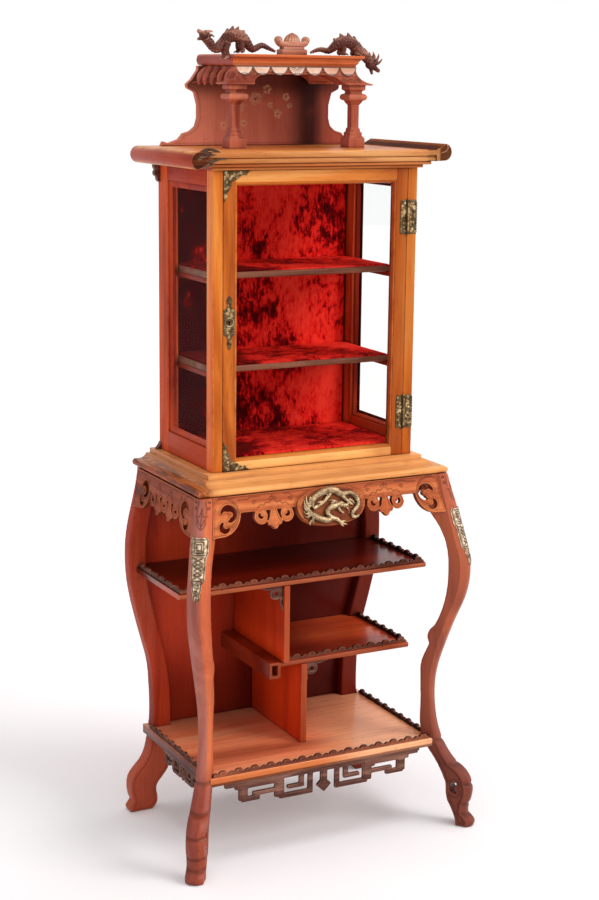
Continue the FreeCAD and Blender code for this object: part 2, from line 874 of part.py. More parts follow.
def side_opening():
    """The opening between a side's posts and rails: places along y, heights along z."""
    y = (case_front_y + front_post_depth, case_back_y - back_post_depth)
    z = (case_bottom_z + side_bottom_rail_height, case_top_z - side_top_rail_height)
    return y, z


def side_rail(z):
    y = side_opening()[0]
    rail = block((case_half - front_post_width, case_half), y, z)
    return both_sides(rail)


def frame_loft(outer, near, far, depth):
    """A four-sided bead: its hole is near-sized at depth[0] and far-sized at depth[1]."""
    def ring(size, place):
        (u0, u1), (v0, v1) = size
        return Part.makePolygon([Vector(u0, place, v0), Vector(u1, place, v0), Vector(u1, place, v1),
                                 Vector(u0, place, v1), Vector(u0, place, v0)])
    hole = Part.makeLoft([ring(near, depth[0]), ring(far, depth[1])], True, True)
    (u0, u1), (v0, v1) = outer
    return block((u0, u1), depth, (v0, v1)).cut(hole)


def inset(size, amount):
    (u0, u1), (v0, v1) = size
    return (u0 + amount, u1 - amount), (v0 + amount, v1 - amount)


def side_glass_parts():
    """The pane and the beads before and behind it, for both sides."""
    (y0, y1), z = side_opening()
    half = (y1 - y0) / 2
    opening = ((-half, half), z)
    recess = side_bead_depth / 2
    pane_at = recess + side_bead_depth / 2
    panes = []
    beads = []
    for side in (-1, 1):
        move = Vector(side * case_half, (y0 + y1) / 2, 0)
        front_bead = frame_loft(opening, inset(opening, side_bead_width / 3), inset(opening, side_bead_width),
                                (recess, pane_at))
        behind = pane_at + glass_thickness
        back_bead = frame_loft(opening, inset(opening, side_bead_back_width),
                               inset(opening, side_bead_back_width / 2), (behind, behind + side_bead_depth))
        (u0, u1), (v0, v1) = opening
        pane = block((u0, u1), (pane_at, pane_at + glass_thickness), (v0, v1))
        panes.append(turned(pane, 90.0 * side, move))
        beads += [turned(front_bead, 90.0 * side, move), turned(back_bead, 90.0 * side, move)]
    return Part.makeCompound(panes), Part.makeCompound(beads)


def inner_half():
    """Half the room between the posts."""
    return case_half - front_post_width


def case_floor():
    half = inner_half()
    return block((-half, half), (door_back_y + stop_gap, case_back_y - back_board_thickness),
                 (case_bottom_z, case_bottom_z + case_floor_thickness)).cut(back_posts())


def case_ceiling():
    half = inner_half()
    return block((-half, half), (door_back_y + stop_gap, case_back_y - back_board_thickness),
                 (case_top_z - case_ceiling_thickness, case_top_z)).cut(back_posts())


def back_posts():
    return both_sides(case_post((case_half - back_post_width, case_half),
                                (case_back_y - back_post_depth, case_back_y)))


def case_back_board():
    half = case_half - back_post_width
    return block((-half, half), (case_back_y - back_board_thickness, case_back_y),
                 (case_bottom_z, case_top_z))


def back_velvet():
    half = case_half - back_post_width - velvet_margin
    low = case_bottom_z + case_floor_thickness + soft_clearance
    high = case_top_z - case_ceiling_thickness - soft_clearance
    return block((-half, half), (velvet_front_y, case_back_y - back_board_thickness), (low, high))


def floor_velvet():
    half = inner_half() - velvet_margin
    low = case_bottom_z + case_floor_thickness
    back = velvet_front_y - soft_clearance
    return block((-half, half), (door_back_y + stop_gap + velvet_margin, back),
                 (low, low + velvet_thickness)).cut(grown_back_posts())


def grown_back_posts():
    post = block((case_half - back_post_width - soft_clearance, case_half),
                 (case_back_y - back_post_depth - soft_clearance, case_back_y),
                 (case_bottom_z, case_top_z))
    return both_sides(post)


def case_shelf(height):
    half = inner_half() - case_shelf_end_gap
    low = case_bottom_z + height
    front = case_front_y + case_shelf_setback
    back = velvet_front_y - soft_clearance
    return rounded_board((-half, half), (front, back), (low, low + case_shelf_thickness),
                         shelf_rounding).cut(grown_back_posts())


def shelf_velvet(height):
    half = inner_half() - case_shelf_end_gap - velvet_margin
    low = case_bottom_z + height + case_shelf_thickness
    front = case_front_y + case_shelf_setback + velvet_margin
    back = velvet_front_y - soft_clearance
    return block((-half, half), (front, back), (low, low + shelf_velvet_thickness)).cut(grown_back_posts())


def shelf_batten(height):
    """A strip from post to post under each end of a shelf."""
    outer = inner_half()
    high = case_bottom_z + height
    y = (case_front_y + front_post_depth - batten_width, case_back_y - back_post_depth)
    return both_sides(block((outer - batten_width, outer), y, (high - batten_height, high)))


top_bracket_share = (
    ((0.0, 0.0), (0.5, 0.17), (0.5, 0.33)), ((0.5, 0.33), (1.0, 0.5), (0.75, 0.67)),
    ((0.75, 0.67), (1.0, 0.83), (1.0, 1.0)))
foot_hollow_share = (0.4, 0.4)


def back_corner_brackets():
    """Small scrolls on the outside of the back posts, at the top and at the foot."""
    y = (case_back_y - back_bracket_thickness, case_back_y)
    low = case_top_z - back_bracket_height
    runs = [[(case_half + u, low + v) for u, v in scaled(shares, back_bracket_reach, back_bracket_height)]
            for shares in top_bracket_share]
    top = front_prism(runs + corners((case_half, case_top_z)), y)
    tip = case_half + back_bracket_reach
    along, up = foot_hollow_share
    hollow = (case_half + along * back_bracket_reach, case_bottom_z + up * back_foot_height)
    rim = [[(tip, case_bottom_z), hollow, (case_half, case_bottom_z + back_foot_height)]]
    foot = front_prism(rim + corners((case_half, case_bottom_z)), y)
    return Part.makeCompound([top, mirrored(top), foot, mirrored(foot)])


# Door

def door_z():
    return case_bottom_z + door_gap, case_top_z - door_gap


def door_opening():
    low, high = door_z()
    half = door_half - door_stile_width
    return (-half, half), (low + door_bottom_rail_height, high - door_top_rail_height)


def door_stile():
    return block((door_half - door_stile_width, door_half), (case_front_y, door_back_y), door_z())


def bolt_y():
    """Places of the bolt's front and back faces."""
    front = door_back_y - lock_case_depth / 2 - bolt_thickness / 2
    return front, front + bolt_thickness


def lock_places():
    """The lock's box in the back of the stile: x, y and z."""
    z = case_bottom_z + lock_height
    x0 = -door_half + bolt_travel / 2
    return ((x0, x0 + lock_case_width), (door_back_y - lock_case_depth, door_back_y),
            (z - lock_case_height / 2, z + lock_case_height / 2))


def bolt_channel():
    """Room for the bolt from the door's edge into the lock."""
    z = case_bottom_z + lock_height
    half = bolt_height / 2 + bolt_clearance
    y = bolt_y()
    return block((-door_half - overrun, -door_half + bolt_length + bolt_clearance),
                 (y[0] - bolt_clearance, y[1] + bolt_clearance), (z - half, z + half))


def keyhole(y):
    """A round hole with a slot below it."""
    x = -(door_half - door_stile_width / 2)
    z = case_bottom_z + lock_height
    half = keyhole_slot_width / 2
    hole = cylinder_along_y(keyhole_radius, (x, z), y)
    return hole.fuse(block((x - half, x + half), y, (z - keyhole_slot_length, z)))


def door_lock_stile():
    stile = mirrored(door_stile())
    x, y, z = lock_places()
    pocket = block(x, (y[0], y[1] + overrun), z)
    through = keyhole((case_front_y - overrun, y[0] + overrun))
    return stile.cut(pocket).cut(bolt_channel()).cut(through)


def lock_case():
    """Flat box with the bolt's channel through it and a keyhole in its front."""
    x, y, z = lock_places()
    return block(x, y, z).cut(bolt_channel()).cut(keyhole((y[0] - overrun, bolt_y()[0])))


def lock_bolt():
    z = case_bottom_z + lock_height
    half = bolt_height / 2
    return block((-door_half, -door_half + bolt_length), bolt_y(), (z - half, z + half))


def door_rails():
    low, high = door_z()
    (x0, x1), (z0, z1) = door_opening()
    y = (case_front_y, door_back_y)
    return Part.makeCompound([block((x0, x1), y, (z1, high)), block((x0, x1), y, (low, z0))])


def door_glass_places():
    front = case_front_y + door_bead_front_depth
    return front, front + glass_thickness


def door_glass():
    (x0, x1), (z0, z1) = door_opening()
    return block((x0, x1), door_glass_places(), (z0, z1))


def door_glass_beads():
    opening = door_opening()
    front, back = door_glass_places()
    near = inset(opening, door_bead_width / 2)
    far = inset(opening, door_bead_width)
    return Part.makeCompound([
        frame_loft(opening, near, far, (case_front_y + door_bead_recess, front)),
        frame_loft(opening, far, near, (back, back + door_bead_back_depth))])


corner_mount_share = (
    (0.0, 0.0), (1.0, 0.0), (0.80, 0.11), (0.62, 0.13), (0.47, 0.24), (0.32, 0.27), (0.27, 0.34),
    (0.22, 0.50), (0.14, 0.62), (0.10, 0.79), (0.0, 1.0))


def door_corner_mounts():
    """Two brass corners on the lock side of the door, the lower one turned over."""
    low, high = door_z()
    y = (case_front_y - brass_thickness, case_front_y)
    points = [(-door_half + u * corner_mount_width, v * corner_mount_height) for u, v in corner_mount_share]
    lower = front_prism(corners(*[(u, low + v) for u, v in points]), y)
    upper = front_prism(corners(*[(u, high - v) for u, v in points]), y)
    return Part.makeCompound([upper, lower])


escutcheon_share = (
    (0.06, 0.96), (0.28, 0.88), (0.18, 0.78), (0.40, 0.70), (0.50, 0.60), (0.50, 0.50),
    (0.40, 0.42), (0.26, 0.34), (0.32, 0.26), (0.16, 0.20), (0.22, 0.12), (0.06, 0.02))


def escutcheon():
    x = -(door_half - door_stile_width / 2)
    z = case_bottom_z + lock_height - escutcheon_height / 2
    y = (case_front_y - brass_thickness, case_front_y)
    right = [(x + u * escutcheon_width, z + v * escutcheon_height) for u, v in escutcheon_share]
    left = [(2 * x - u, v) for u, v in reversed(right)]
    return front_prism(corners(*(right + left)), y).cut(keyhole((y[0] - overrun, y[1] + overrun)))


# Hinges

def hinge_axis():
    x = door_half + door_gap / 2
    return x, case_front_y - knuckle_face_clearance - knuckle_radius


def hinge_leaf(side, low):
    """One leaf with its knuckles: the case's leaf holds the outer ones."""
    x, y = hinge_axis()
    pitch = hinge_height / knuckle_count
    face = case_front_y
    plate_y = (face - hinge_leaf_thickness, face)
    width = hinge_case_leaf_width if side > 0 else hinge_door_leaf_width
    clear = knuckle_radius + knuckle_gap
    plate = sorted((x + side * clear, x + side * width))
    pieces = [block(plate, plate_y, (low, low + hinge_height))]
    bore = Part.makeCylinder(pin_radius + pin_clearance, hinge_height, Vector(x, y, low))
    for index in range(knuckle_count):
        if (index % 2 == 0) != (side > 0):
            continue
        z = (low + index * pitch + knuckle_gap / 2, low + (index + 1) * pitch - knuckle_gap / 2)
        knuckle = Part.makeCylinder(knuckle_radius, z[1] - z[0], Vector(x, y, z[0]))
        tab = block(sorted((x + side * door_gap, x + side * clear)), plate_y, z)
        web = block(sorted((x + side * knuckle_radius / 2, x + side * knuckle_radius)), (y, plate_y[1]), z)
        pieces += [knuckle, tab, web]
    return join(pieces).cut(bore)


def hinge_heights():
    return (case_bottom_z + hinge_lower_height, case_bottom_z + hinge_upper_height)


def hinge_leaves(side):
    return Part.makeCompound([hinge_leaf(side, low) for low in hinge_heights()])


def hinge_pins():
    x, y = hinge_axis()
    pins = []
    for low in hinge_heights():
        pin = Part.makeCylinder(pin_radius, hinge_height, Vector(x, y, low))
        head = Part.makeCylinder(pin_head_radius, pin_head_height, Vector(x, y, low + hinge_height))
        foot = Part.makeCylinder(pin_head_radius, pin_head_height, Vector(x, y, low - pin_head_height))
        pins.append(join([pin, head, foot]))
    return Part.makeCompound(pins)


# Shrine

shrine_back_share = (
    (0.65, 1.0), (0.65, 0.95), (0.71, 0.83), (0.76, 0.77), (0.75, 0.72), (0.68, 0.67),
    (0.65, 0.51), (0.65, 0.35), (0.67, 0.245), (0.72, 0.185), (0.79, 0.155), (0.83, 0.085),
    (0.93, 0.035), (0.98, 0.06), (1.0, 0.0))


def shrine_back_board():
    outline = scaled(shrine_back_share, shrine_back_half_width, shrine_height)
    points = [(u, slab_top_z + v) for u, v in outline]
    left = [(-u, v) for u, v in reversed(points)]
    return front_prism(corners(*(points + left)), (shrine_board_front_y, shrine_back_y))


column_profile_share = (
    (0.50, 0.0), (0.50, 0.15), (0.38, 0.19), (0.38, 0.24), (0.30, 0.26), (0.30, 0.30), (0.24, 0.32),
    (0.24, 0.68), (0.36, 0.73), (0.40, 0.755))
column_torus_share = ((0.50, 0.765), (0.565, 0.81), (0.50, 0.855))
column_head_share = ((0.36, 0.87), (0.36, 0.905), (0.50, 0.93), (0.50, 1.0))


def shrine_columns():
    def run(shares):
        return scaled(shares, column_width, column_height)
    right = corners(*run(column_profile_share)) + [run(column_torus_share)]
    right += corners(*run(column_head_share))
    column = square_turning(right, mirrored_runs(right))
    y = case_front_y + column_setback
    return Part.makeCompound([turned(column, 0, Vector(side * column_offset, y, slab_top_z))
                              for side in (-1, 1)])


def roof_board():
    """Flat roof with a coved edge on the front and the sides."""
    def outline(top, low):
        """The edge upwards, on the side where its places grow outwards."""
        middle = (top + low) / 2
        return [[(low, z[0]), (low, z[0] + lip)],
                [(low + lip / 2, z[0] + lip), (middle - lip / 4, z[0] + 2 * lip), (top, z[1] - lip)],
                [(top, z[1])]]
    z = (roof_bottom_z, roof_top_z)
    lip = roof_thickness / 4
    front = case_front_y + roof_top_front
    right = outline(roof_top_half_width, roof_bottom_half_width)
    across = front_prism(right + mirrored_runs(right), (front, case_back_y))
    nose = mirrored_runs(outline(-front, -(case_front_y + roof_bottom_front)))
    rim = nose + corners((case_back_y, z[0]), (case_back_y, z[1]))
    return across.common(side_prism(rim, (-roof_top_half_width, roof_top_half_width)))


sweep_middle_share = (0.22, 0.42)
frieze_tip_share = 0.08
arch_shoulder_share = ((1.0, 0.0), (0.86, 0.7), (0.66, 1.0))


def canopy_sweep(lower, upper):
    """The swept outline from its lower edge to the roof, where places grow outwards."""
    tip = frieze_low_z + frieze_tip_share * frieze_height
    along, up = sweep_middle_share
    middle = (upper + along * (lower - upper), frieze_low_z + up * frieze_height)
    return [[(lower, frieze_low_z), (lower, tip)], [(lower, tip), middle, (upper, roof_bottom_z)]]


def canopy_front(shift, half_width):
    """All behind the canopy's swept front, which is pushed forward by the shift."""
    lower = shift - frieze_front_y
    front = mirrored_runs(canopy_sweep(lower, lower - frieze_top_front_inset))
    behind = corners((shrine_board_front_y, frieze_low_z), (shrine_board_front_y, roof_bottom_z))
    return side_prism(front + behind, (-half_width, half_width))


def roof_frieze():
    """Canopy that sweeps out to its lower corners, tunnelled front to back and side to side."""
    half = frieze_half_width
    right = canopy_sweep(half, half - frieze_top_inset)
    across = front_prism(right + mirrored_runs(right), (frieze_front_y, shrine_board_front_y))
    return across.common(canopy_front(0, half)).cut(front_arch()).cut(side_arch())


def front_arch():
    arch = [[(u, frieze_low_z + v) for u, v in scaled(arch_shoulder_share, arch_half_width, arch_rise)]]
    return front_prism(arch + mirrored_runs(arch), (frieze_front_y - overrun, shrine_board_front_y + overrun))


def side_arch():
    start = frieze_front_y + side_arch_inset
    middle = (start + shrine_board_front_y) / 2
    arch = [[(start, frieze_low_z), (middle, frieze_low_z + arch_rise), (shrine_board_front_y, frieze_low_z)]]
    reach = frieze_half_width + overrun
    return side_prism(arch, (-reach, reach))


def frieze_scallops():
    """A row of half-round tiles along the front of the frieze, hung under the roof."""
    high = roof_bottom_z
    half = roof_bottom_half_width
    count = 2 * int(half / tile_width) + 1
    step = 2 * half / count
    skin = canopy_front(tile_thickness, half).cut(canopy_front(0, half))
    tiles = []
    for index in range(count):
        middle = -half + index * step + step / 2
        rim = [[(middle - step / 2, high), (middle, high - tile_drop), (middle + step / 2, high)]]
        tile = front_prism(rim, (frieze_front_y - overrun, frieze_front_y + frieze_top_front_inset))
        tiles.append(tile.common(skin))
    return Part.makeCompound(tiles)


finial_base_share = ((0.43, 0.0), (0.43, 0.36), (0.30, 0.40), (0.30, 0.46))
finial_bowl_share = ((0.30, 0.46), (0.46, 0.55), (0.50, 0.72), (0.44, 0.84), (0.36, 0.76), (0.26, 0.66))
finial_bud_share = ((0.20, 0.66), (0.12, 0.90), (0.0, 1.0))
finial_shoulder_share = 0.7


def roof_finial():
    """Stepped foot, a bowl with curled ends and a bud."""
    def run(shares):
        return scaled(shares, finial_width, finial_height)
    right = corners(*run(finial_base_share)) + [run(finial_bowl_share), run(finial_bud_share)]
    half = finial_depth / 2
    y = case_front_y + finial_setback
    shape = front_prism(right + mirrored_runs(right), (-half, half))
    side = [[(half, 0), (half, finial_shoulder_share * finial_height), (0, finial_height)]]
    profile = side_prism(side + mirrored_runs(side), (-finial_width, finial_width))
    finial = shape.common(profile)
    finial.translate(Vector(0, y, roof_top_z))
    return finial


left_dragon_share = (
    (0.0, 0.06), (0.10, 0.14), (0.19, 0.33), (0.28, 0.24), (0.36, 0.14), (0.43, 0.36), (0.51, 0.64),
    (0.61, 0.76), (0.70, 0.62), (0.75, 0.28), (0.83, 0.22), (0.89, 0.38), (0.94, 0.58), (0.97, 0.80))
left_dragon_girth_share = (0.3, 0.4, 0.45, 0.5, 0.6, 0.9, 1.2, 1.3, 1.2, 0.8, 0.8, 0.8, 1.0, 0.9)
right_dragon_share = (
    (0.0, 0.06), (0.12, 0.18), (0.20, 0.22), (0.27, 0.14), (0.34, 0.32), (0.42, 0.54), (0.52, 0.60),
    (0.61, 0.50), (0.69, 0.32), (0.77, 0.14), (0.83, -0.06), (0.90, -0.28), (0.96, -0.48))
right_dragon_girth_share = (0.3, 0.4, 0.45, 0.5, 0.8, 1.1, 1.25, 1.2, 1.1, 0.95, 0.9, 1.1, 0.8)
dragon_leg_share = ((0.0, 0.04), (-0.04, 0.30), (0.03, 0.55))
dragon_leg_girth_share = (0.5, 0.45, 0.6)
left_dragon_legs_share = (0.47, 0.70)
right_dragon_legs_share = (0.38, 0.60)


def dragon(side, body_share, girth_share, leg_places_share):
    """A carved dragon on the roof: its body, and four legs that stand on the roof."""
    start = finial_width / 2
    y = case_front_y + dragon_setback
    points = [Vector(side * (start + u * dragon_length), y, roof_top_z + v * dragon_rise)
              for u, v in body_share]
    pieces = [limb(points, [share * dragon_girth for share in girth_share])]
    for place in leg_places_share:
        for across in (-1, 1):
            leg = [Vector(side * (start + (place + u) * dragon_length), y + across * dragon_girth,
                          roof_top_z + v * dragon_rise) for u, v in dragon_leg_share]
            pieces.append(limb(leg, [share * dragon_girth for share in dragon_leg_girth_share]))
    reach = start + 2 * dragon_length
    across = (y - dragon_length, y + dragon_length)
    above = block((-reach, reach), across, (roof_top_z, roof_top_z + 2 * dragon_rise))
    edge = roof_top_half_width + soft_clearance
    beyond = block(sorted((side * edge, side * reach)), across, (frieze_low_z, roof_top_z))
    return join(pieces).common(join([above, beyond]))


# Build every piece and write it

def save(name, shape):
    shape.exportStep("parts/" + name + ".step")
    volume = sum(solid.Volume for solid in shape.Solids)
    print(name, "solids", len(shape.Solids), "volume", round(volume), "valid", shape.isValid())


left_leg = front_leg(-1)
right_leg = front_leg(1)
front_legs = Part.makeCompound([left_leg, right_leg])
rear_leg = back_leg()
back_legs = both_sides(rear_leg)
all_legs = Part.makeCompound([left_leg, right_leg, rear_leg, mirrored(rear_leg)])

save("front_left_leg", left_leg)
save("front_right_leg", right_leg)
save("back_left_leg", mirrored(rear_leg))
save("back_right_leg", rear_leg)
save("leg_mounts", Part.makeCompound([leg_mount(-1), leg_mount(1)]))
save("stand_back_panel", stand_back_panel())
save("front_apron", front_apron(front_legs))
save("left_side_apron", side_apron(-1, front_legs))
save("right_side_apron", side_apron(1, front_legs))
save("apron_dragon_mount", apron_dragon_mount())
save("base_moulding", base_moulding())
save("upper_shelf", upper_shelf(back_legs))
save("upper_shelf_gallery", upper_gallery())
save("middle_shelf", middle_shelf(back_legs))
save("middle_shelf_gallery", middle_gallery())
save("bottom_shelf", bottom_shelf(all_legs))
save("bottom_shelf_gallery", bottom_gallery())
save("upper_divider", upper_divider())
save("lower_divider", lower_divider())
save("upper_divider_bracket", fret_bracket(-1, -upper_divider_left, upper_shelf_top - shelf_thickness,
                                           upper_shelf_front_y + bracket_setback))
save("lower_divider_bracket", fret_bracket(1, lower_divider_thickness / 2,
                                           middle_shelf_top - shelf_thickness,
                                           middle_shelf_front_y + bracket_setback))
save("front_lower_fret", front_lower_fret(front_legs))
save("side_lower_frets", side_lower_frets())

right_post = front_post()
save("front_posts", Part.makeCompound([right_post, mirrored(right_post).cut(strike_mortise())]))
save("back_posts", back_posts())
save("side_top_rails", side_rail((case_top_z - side_top_rail_height, case_top_z)))
save("side_bottom_rails", side_rail((case_bottom_z, case_bottom_z + side_bottom_rail_height)))
side_panes, side_beads = side_glass_parts()
save("side_glass_panes", side_panes)
save("side_glass_beads", side_beads)
save("case_floor", case_floor())
save("floor_velvet", floor_velvet())
save("case_ceiling", case_ceiling())
save("case_back_board", case_back_board())
save("back_velvet", back_velvet())
save("case_shelves", Part.makeCompound([case_shelf(height) for height in case_shelf_heights]))
save("shelf_velvets", Part.makeCompound([shelf_velvet(height) for height in case_shelf_heights]))
save("shelf_battens", Part.makeCompound([shelf_batten(height) for height in case_shelf_heights]))
save("back_corner_brackets", back_corner_brackets())
save("cornice_moulding", cornice_moulding())
save("top_slab", top_slab())

save("door_lock_stile", door_lock_stile())
save("door_hinge_stile", door_stile())
save("door_rails", door_rails())
save("door_glass", door_glass())
save("door_glass_beads", door_glass_beads())
save("door_corner_mounts", door_corner_mounts())
save("escutcheon", escutcheon())
save("lock_case", lock_case())
save("lock_bolt", lock_bolt())
save("hinge_door_leaves", hinge_leaves(-1))
save("hinge_case_leaves", hinge_leaves(1))
save("hinge_pins", hinge_pins())

save("shrine_back_board", shrine_back_board())
save("shrine_columns", shrine_columns())
save("roof_frieze", roof_frieze())
save("frieze_scallops", frieze_scallops())
save("roof_board", roof_board())
save("roof_finial", roof_finial())
save("left_dragon", dragon(-1, left_dragon_share, left_dragon_girth_share, left_dragon_legs_share))
save("right_dragon", dragon(1, right_dragon_share, right_dragon_girth_share, right_dragon_legs_share))
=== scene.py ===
import json
import math
import random
from functools import cache

import bpy
import numpy as np
from mathutils import Matrix, Vector
from mathutils.kdtree import KDTree


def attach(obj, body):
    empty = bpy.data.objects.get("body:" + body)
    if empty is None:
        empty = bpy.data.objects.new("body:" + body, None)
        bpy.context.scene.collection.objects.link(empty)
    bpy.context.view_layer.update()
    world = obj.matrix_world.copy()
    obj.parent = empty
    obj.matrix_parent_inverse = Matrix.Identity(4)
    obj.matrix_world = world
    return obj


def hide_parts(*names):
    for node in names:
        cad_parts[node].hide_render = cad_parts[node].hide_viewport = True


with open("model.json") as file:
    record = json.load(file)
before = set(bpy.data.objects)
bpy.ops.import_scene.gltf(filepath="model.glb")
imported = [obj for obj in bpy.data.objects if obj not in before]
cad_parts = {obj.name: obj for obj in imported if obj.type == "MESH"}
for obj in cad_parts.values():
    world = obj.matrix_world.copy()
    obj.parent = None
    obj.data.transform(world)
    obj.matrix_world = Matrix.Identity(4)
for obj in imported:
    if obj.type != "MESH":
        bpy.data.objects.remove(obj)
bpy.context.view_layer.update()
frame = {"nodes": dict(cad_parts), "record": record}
nodes = frame["nodes"]
record = frame["record"]
bodyOf = {name: body for body, names in record["behaviour"]["bodies"].items() for name in names}
slotOf = {part["node"]: part["material_slot"] for part in record["subparts"]}
mm = 0.001
print("frame loaded:", len(nodes), "nodes")


# Camera, floor and light

cameraView = {"place": (-1.71442, -3.28531, 1.64518), "yaw": 0.48146077, "pitch": 0.21044119,
              "roll": -0.01181473, "lens": 70.0445}
studio = {"ambient": 0.35, "floorHalf": 14.0, "floorDrop": -0.0005, "floorTone": "f2eaec",
          "cloudTone": "fafafa", "floorGlow": 0.125,
          "lamps": {"keyLight": (1.70, (0.72, -0.75, 0.55), 30), "topLight": (1.25, (0.12, -0.05, 1.0), 42),
                    "fillLight": (0.55, (-0.55, -0.85, 0.30), 60)}}


def tone(code, lift=0):
    # a screen colour in hex to the linear colour that a socket takes
    values = [min(255, int(code[i:i + 2], 16) + lift) / 255 for i in (0, 2, 4)]
    return tuple(v / 12.92 if v <= 0.04045 else ((v + 0.055) / 1.055) ** 2.4 for v in values) + (1.0,)


def tones(codes):
    return [tone(code) for code in codes.split()]


class Wire:
    # a socket of a material, or its bare tree, that can stand in a sum
    def __init__(self, tree, socket=None):
        self.tree = tree
        self.socket = socket

    def node(self, kind, settings=None, inputs=None, out=0):
        made = self.tree.nodes.new(kind)
        for key, value in (settings or {}).items():
            if key == "stops":
                self.setStops(made.color_ramp.elements, value)
            else:
                setattr(made, key, value)
        for key, value in (inputs or {}).items():
            if isinstance(value, Wire):
                self.tree.links.new(value.socket, made.inputs[key])
            else:
                made.inputs[key].default_value = value
        return Wire(self.tree, made.outputs[out])

    def setStops(self, elements, stops):
        while len(elements) < len(stops):
            elements.new(1.0)
        for element, (place, colour) in zip(elements, stops):
            element.position = place
            element.color = colour

    def maths(self, operation, *values):
        return self.node("ShaderNodeMath", {"operation": operation}, dict(enumerate(values)))

    def __add__(self, other):
        return self.maths("ADD", self, other)

    def __sub__(self, other):
        return self.maths("SUBTRACT", self, other)

    def __rsub__(self, other):
        return self.maths("SUBTRACT", other, self)

    def __mul__(self, other):
        return self.maths("MULTIPLY", self, other)

    def __pow__(self, other):
        return self.maths("POWER", self, other)

    def __gt__(self, other):
        return self.maths("GREATER_THAN", self, other)

    __radd__ = __add__

    def ease(self, low, high):
        # 0 below the low value, 1 above the high one
        return self.node("ShaderNodeMapRange", {"interpolation_type": "SMOOTHSTEP"},
                         {"Value": self, "From Min": low, "From Max": high})

    def part(self, axis):
        return self.node("ShaderNodeSeparateXYZ", {}, {0: self}, out=axis)

    def ramp(self, stops):
        return self.node("ShaderNodeValToRGB", {"stops": list(stops)}, {"Fac": self})

    def mix(self, mask, first, second):
        return self.node("ShaderNodeMix", {"data_type": "RGBA"}, {0: mask, 6: first, 7: second}, out=2)

    def noise(self, scale, detail=2.0, roughness=0.5, distortion=0.0):
        return self.node("ShaderNodeTexNoise", {}, {
            "Vector": self, "Scale": scale, "Detail": detail, "Roughness": roughness,
            "Distortion": distortion})

    def stretch(self, scale):
        return self.node("ShaderNodeMapping", {}, {"Vector": self, "Scale": scale})

    def seat(self, kind="Object"):
        return self.node("ShaderNodeTexCoord", out=kind)

    def marks(self, name):
        # a value that the piece's own mesh carries
        return self.node("ShaderNodeAttribute", {"attribute_name": name}, out="Fac")

    def form(self, kind):
        return self.node("ShaderNodeNewGeometry", out=kind)

    def dirtAndShade(self, reach, low, high):
        # darker in corners: dirt that gathers there, and painted shade
        bare = self.node("ShaderNodeAmbientOcclusion", {"samples": 5}, {"Distance": reach}, out="AO")
        return (1.0 - bare).ease(low, high)

    def bump(self, strength, depth, height):
        return self.node("ShaderNodeBump", {}, {"Strength": strength, "Distance": depth, "Height": height})


def newFinish(name):
    material = bpy.data.materials.new(name)
    material.use_nodes = True
    material.node_tree.nodes.clear()
    wire = Wire(material.node_tree)
    return material, wire, wire.seat()


def closeFinish(wire, shader, kind="Material"):
    output = wire.tree.nodes.new("ShaderNodeOutput" + kind)
    wire.tree.links.new(shader.socket, output.inputs["Surface"])


def polished(material, wire, inputs):
    closeFinish(wire, wire.node("ShaderNodeBsdfPrincipled", {}, inputs))
    return material


def rest():
    if bpy.context.object and bpy.context.object.mode != "OBJECT":
        bpy.ops.object.mode_set(mode="OBJECT")
    bpy.ops.object.select_all(action="DESELECT")


def take(piece):
    rest()
    piece.select_set(True)
    bpy.context.view_layer.objects.active = piece


def makeCamera(spec):
    rest()
    bpy.ops.object.camera_add()
    camera = bpy.context.object
    camera.name = "camera"
    yaw, pitch, roll = spec["yaw"], spec["pitch"], spec["roll"]
    ahead = Vector((math.sin(yaw) * math.cos(pitch), math.cos(yaw) * math.cos(pitch), -math.sin(pitch)))
    right = Vector((math.cos(yaw), -math.sin(yaw), 0))
    down = ahead.cross(right)
    level = right * math.cos(roll) + down * math.sin(roll)
    drop = down * math.cos(roll) - right * math.sin(roll)
    turn = Matrix((level, -drop, -ahead)).transposed().to_4x4()
    camera.matrix_world = Matrix.Translation(spec["place"]) @ turn
    camera.data.sensor_width = 36
    camera.data.lens = spec["lens"]
    bpy.context.scene.camera = camera


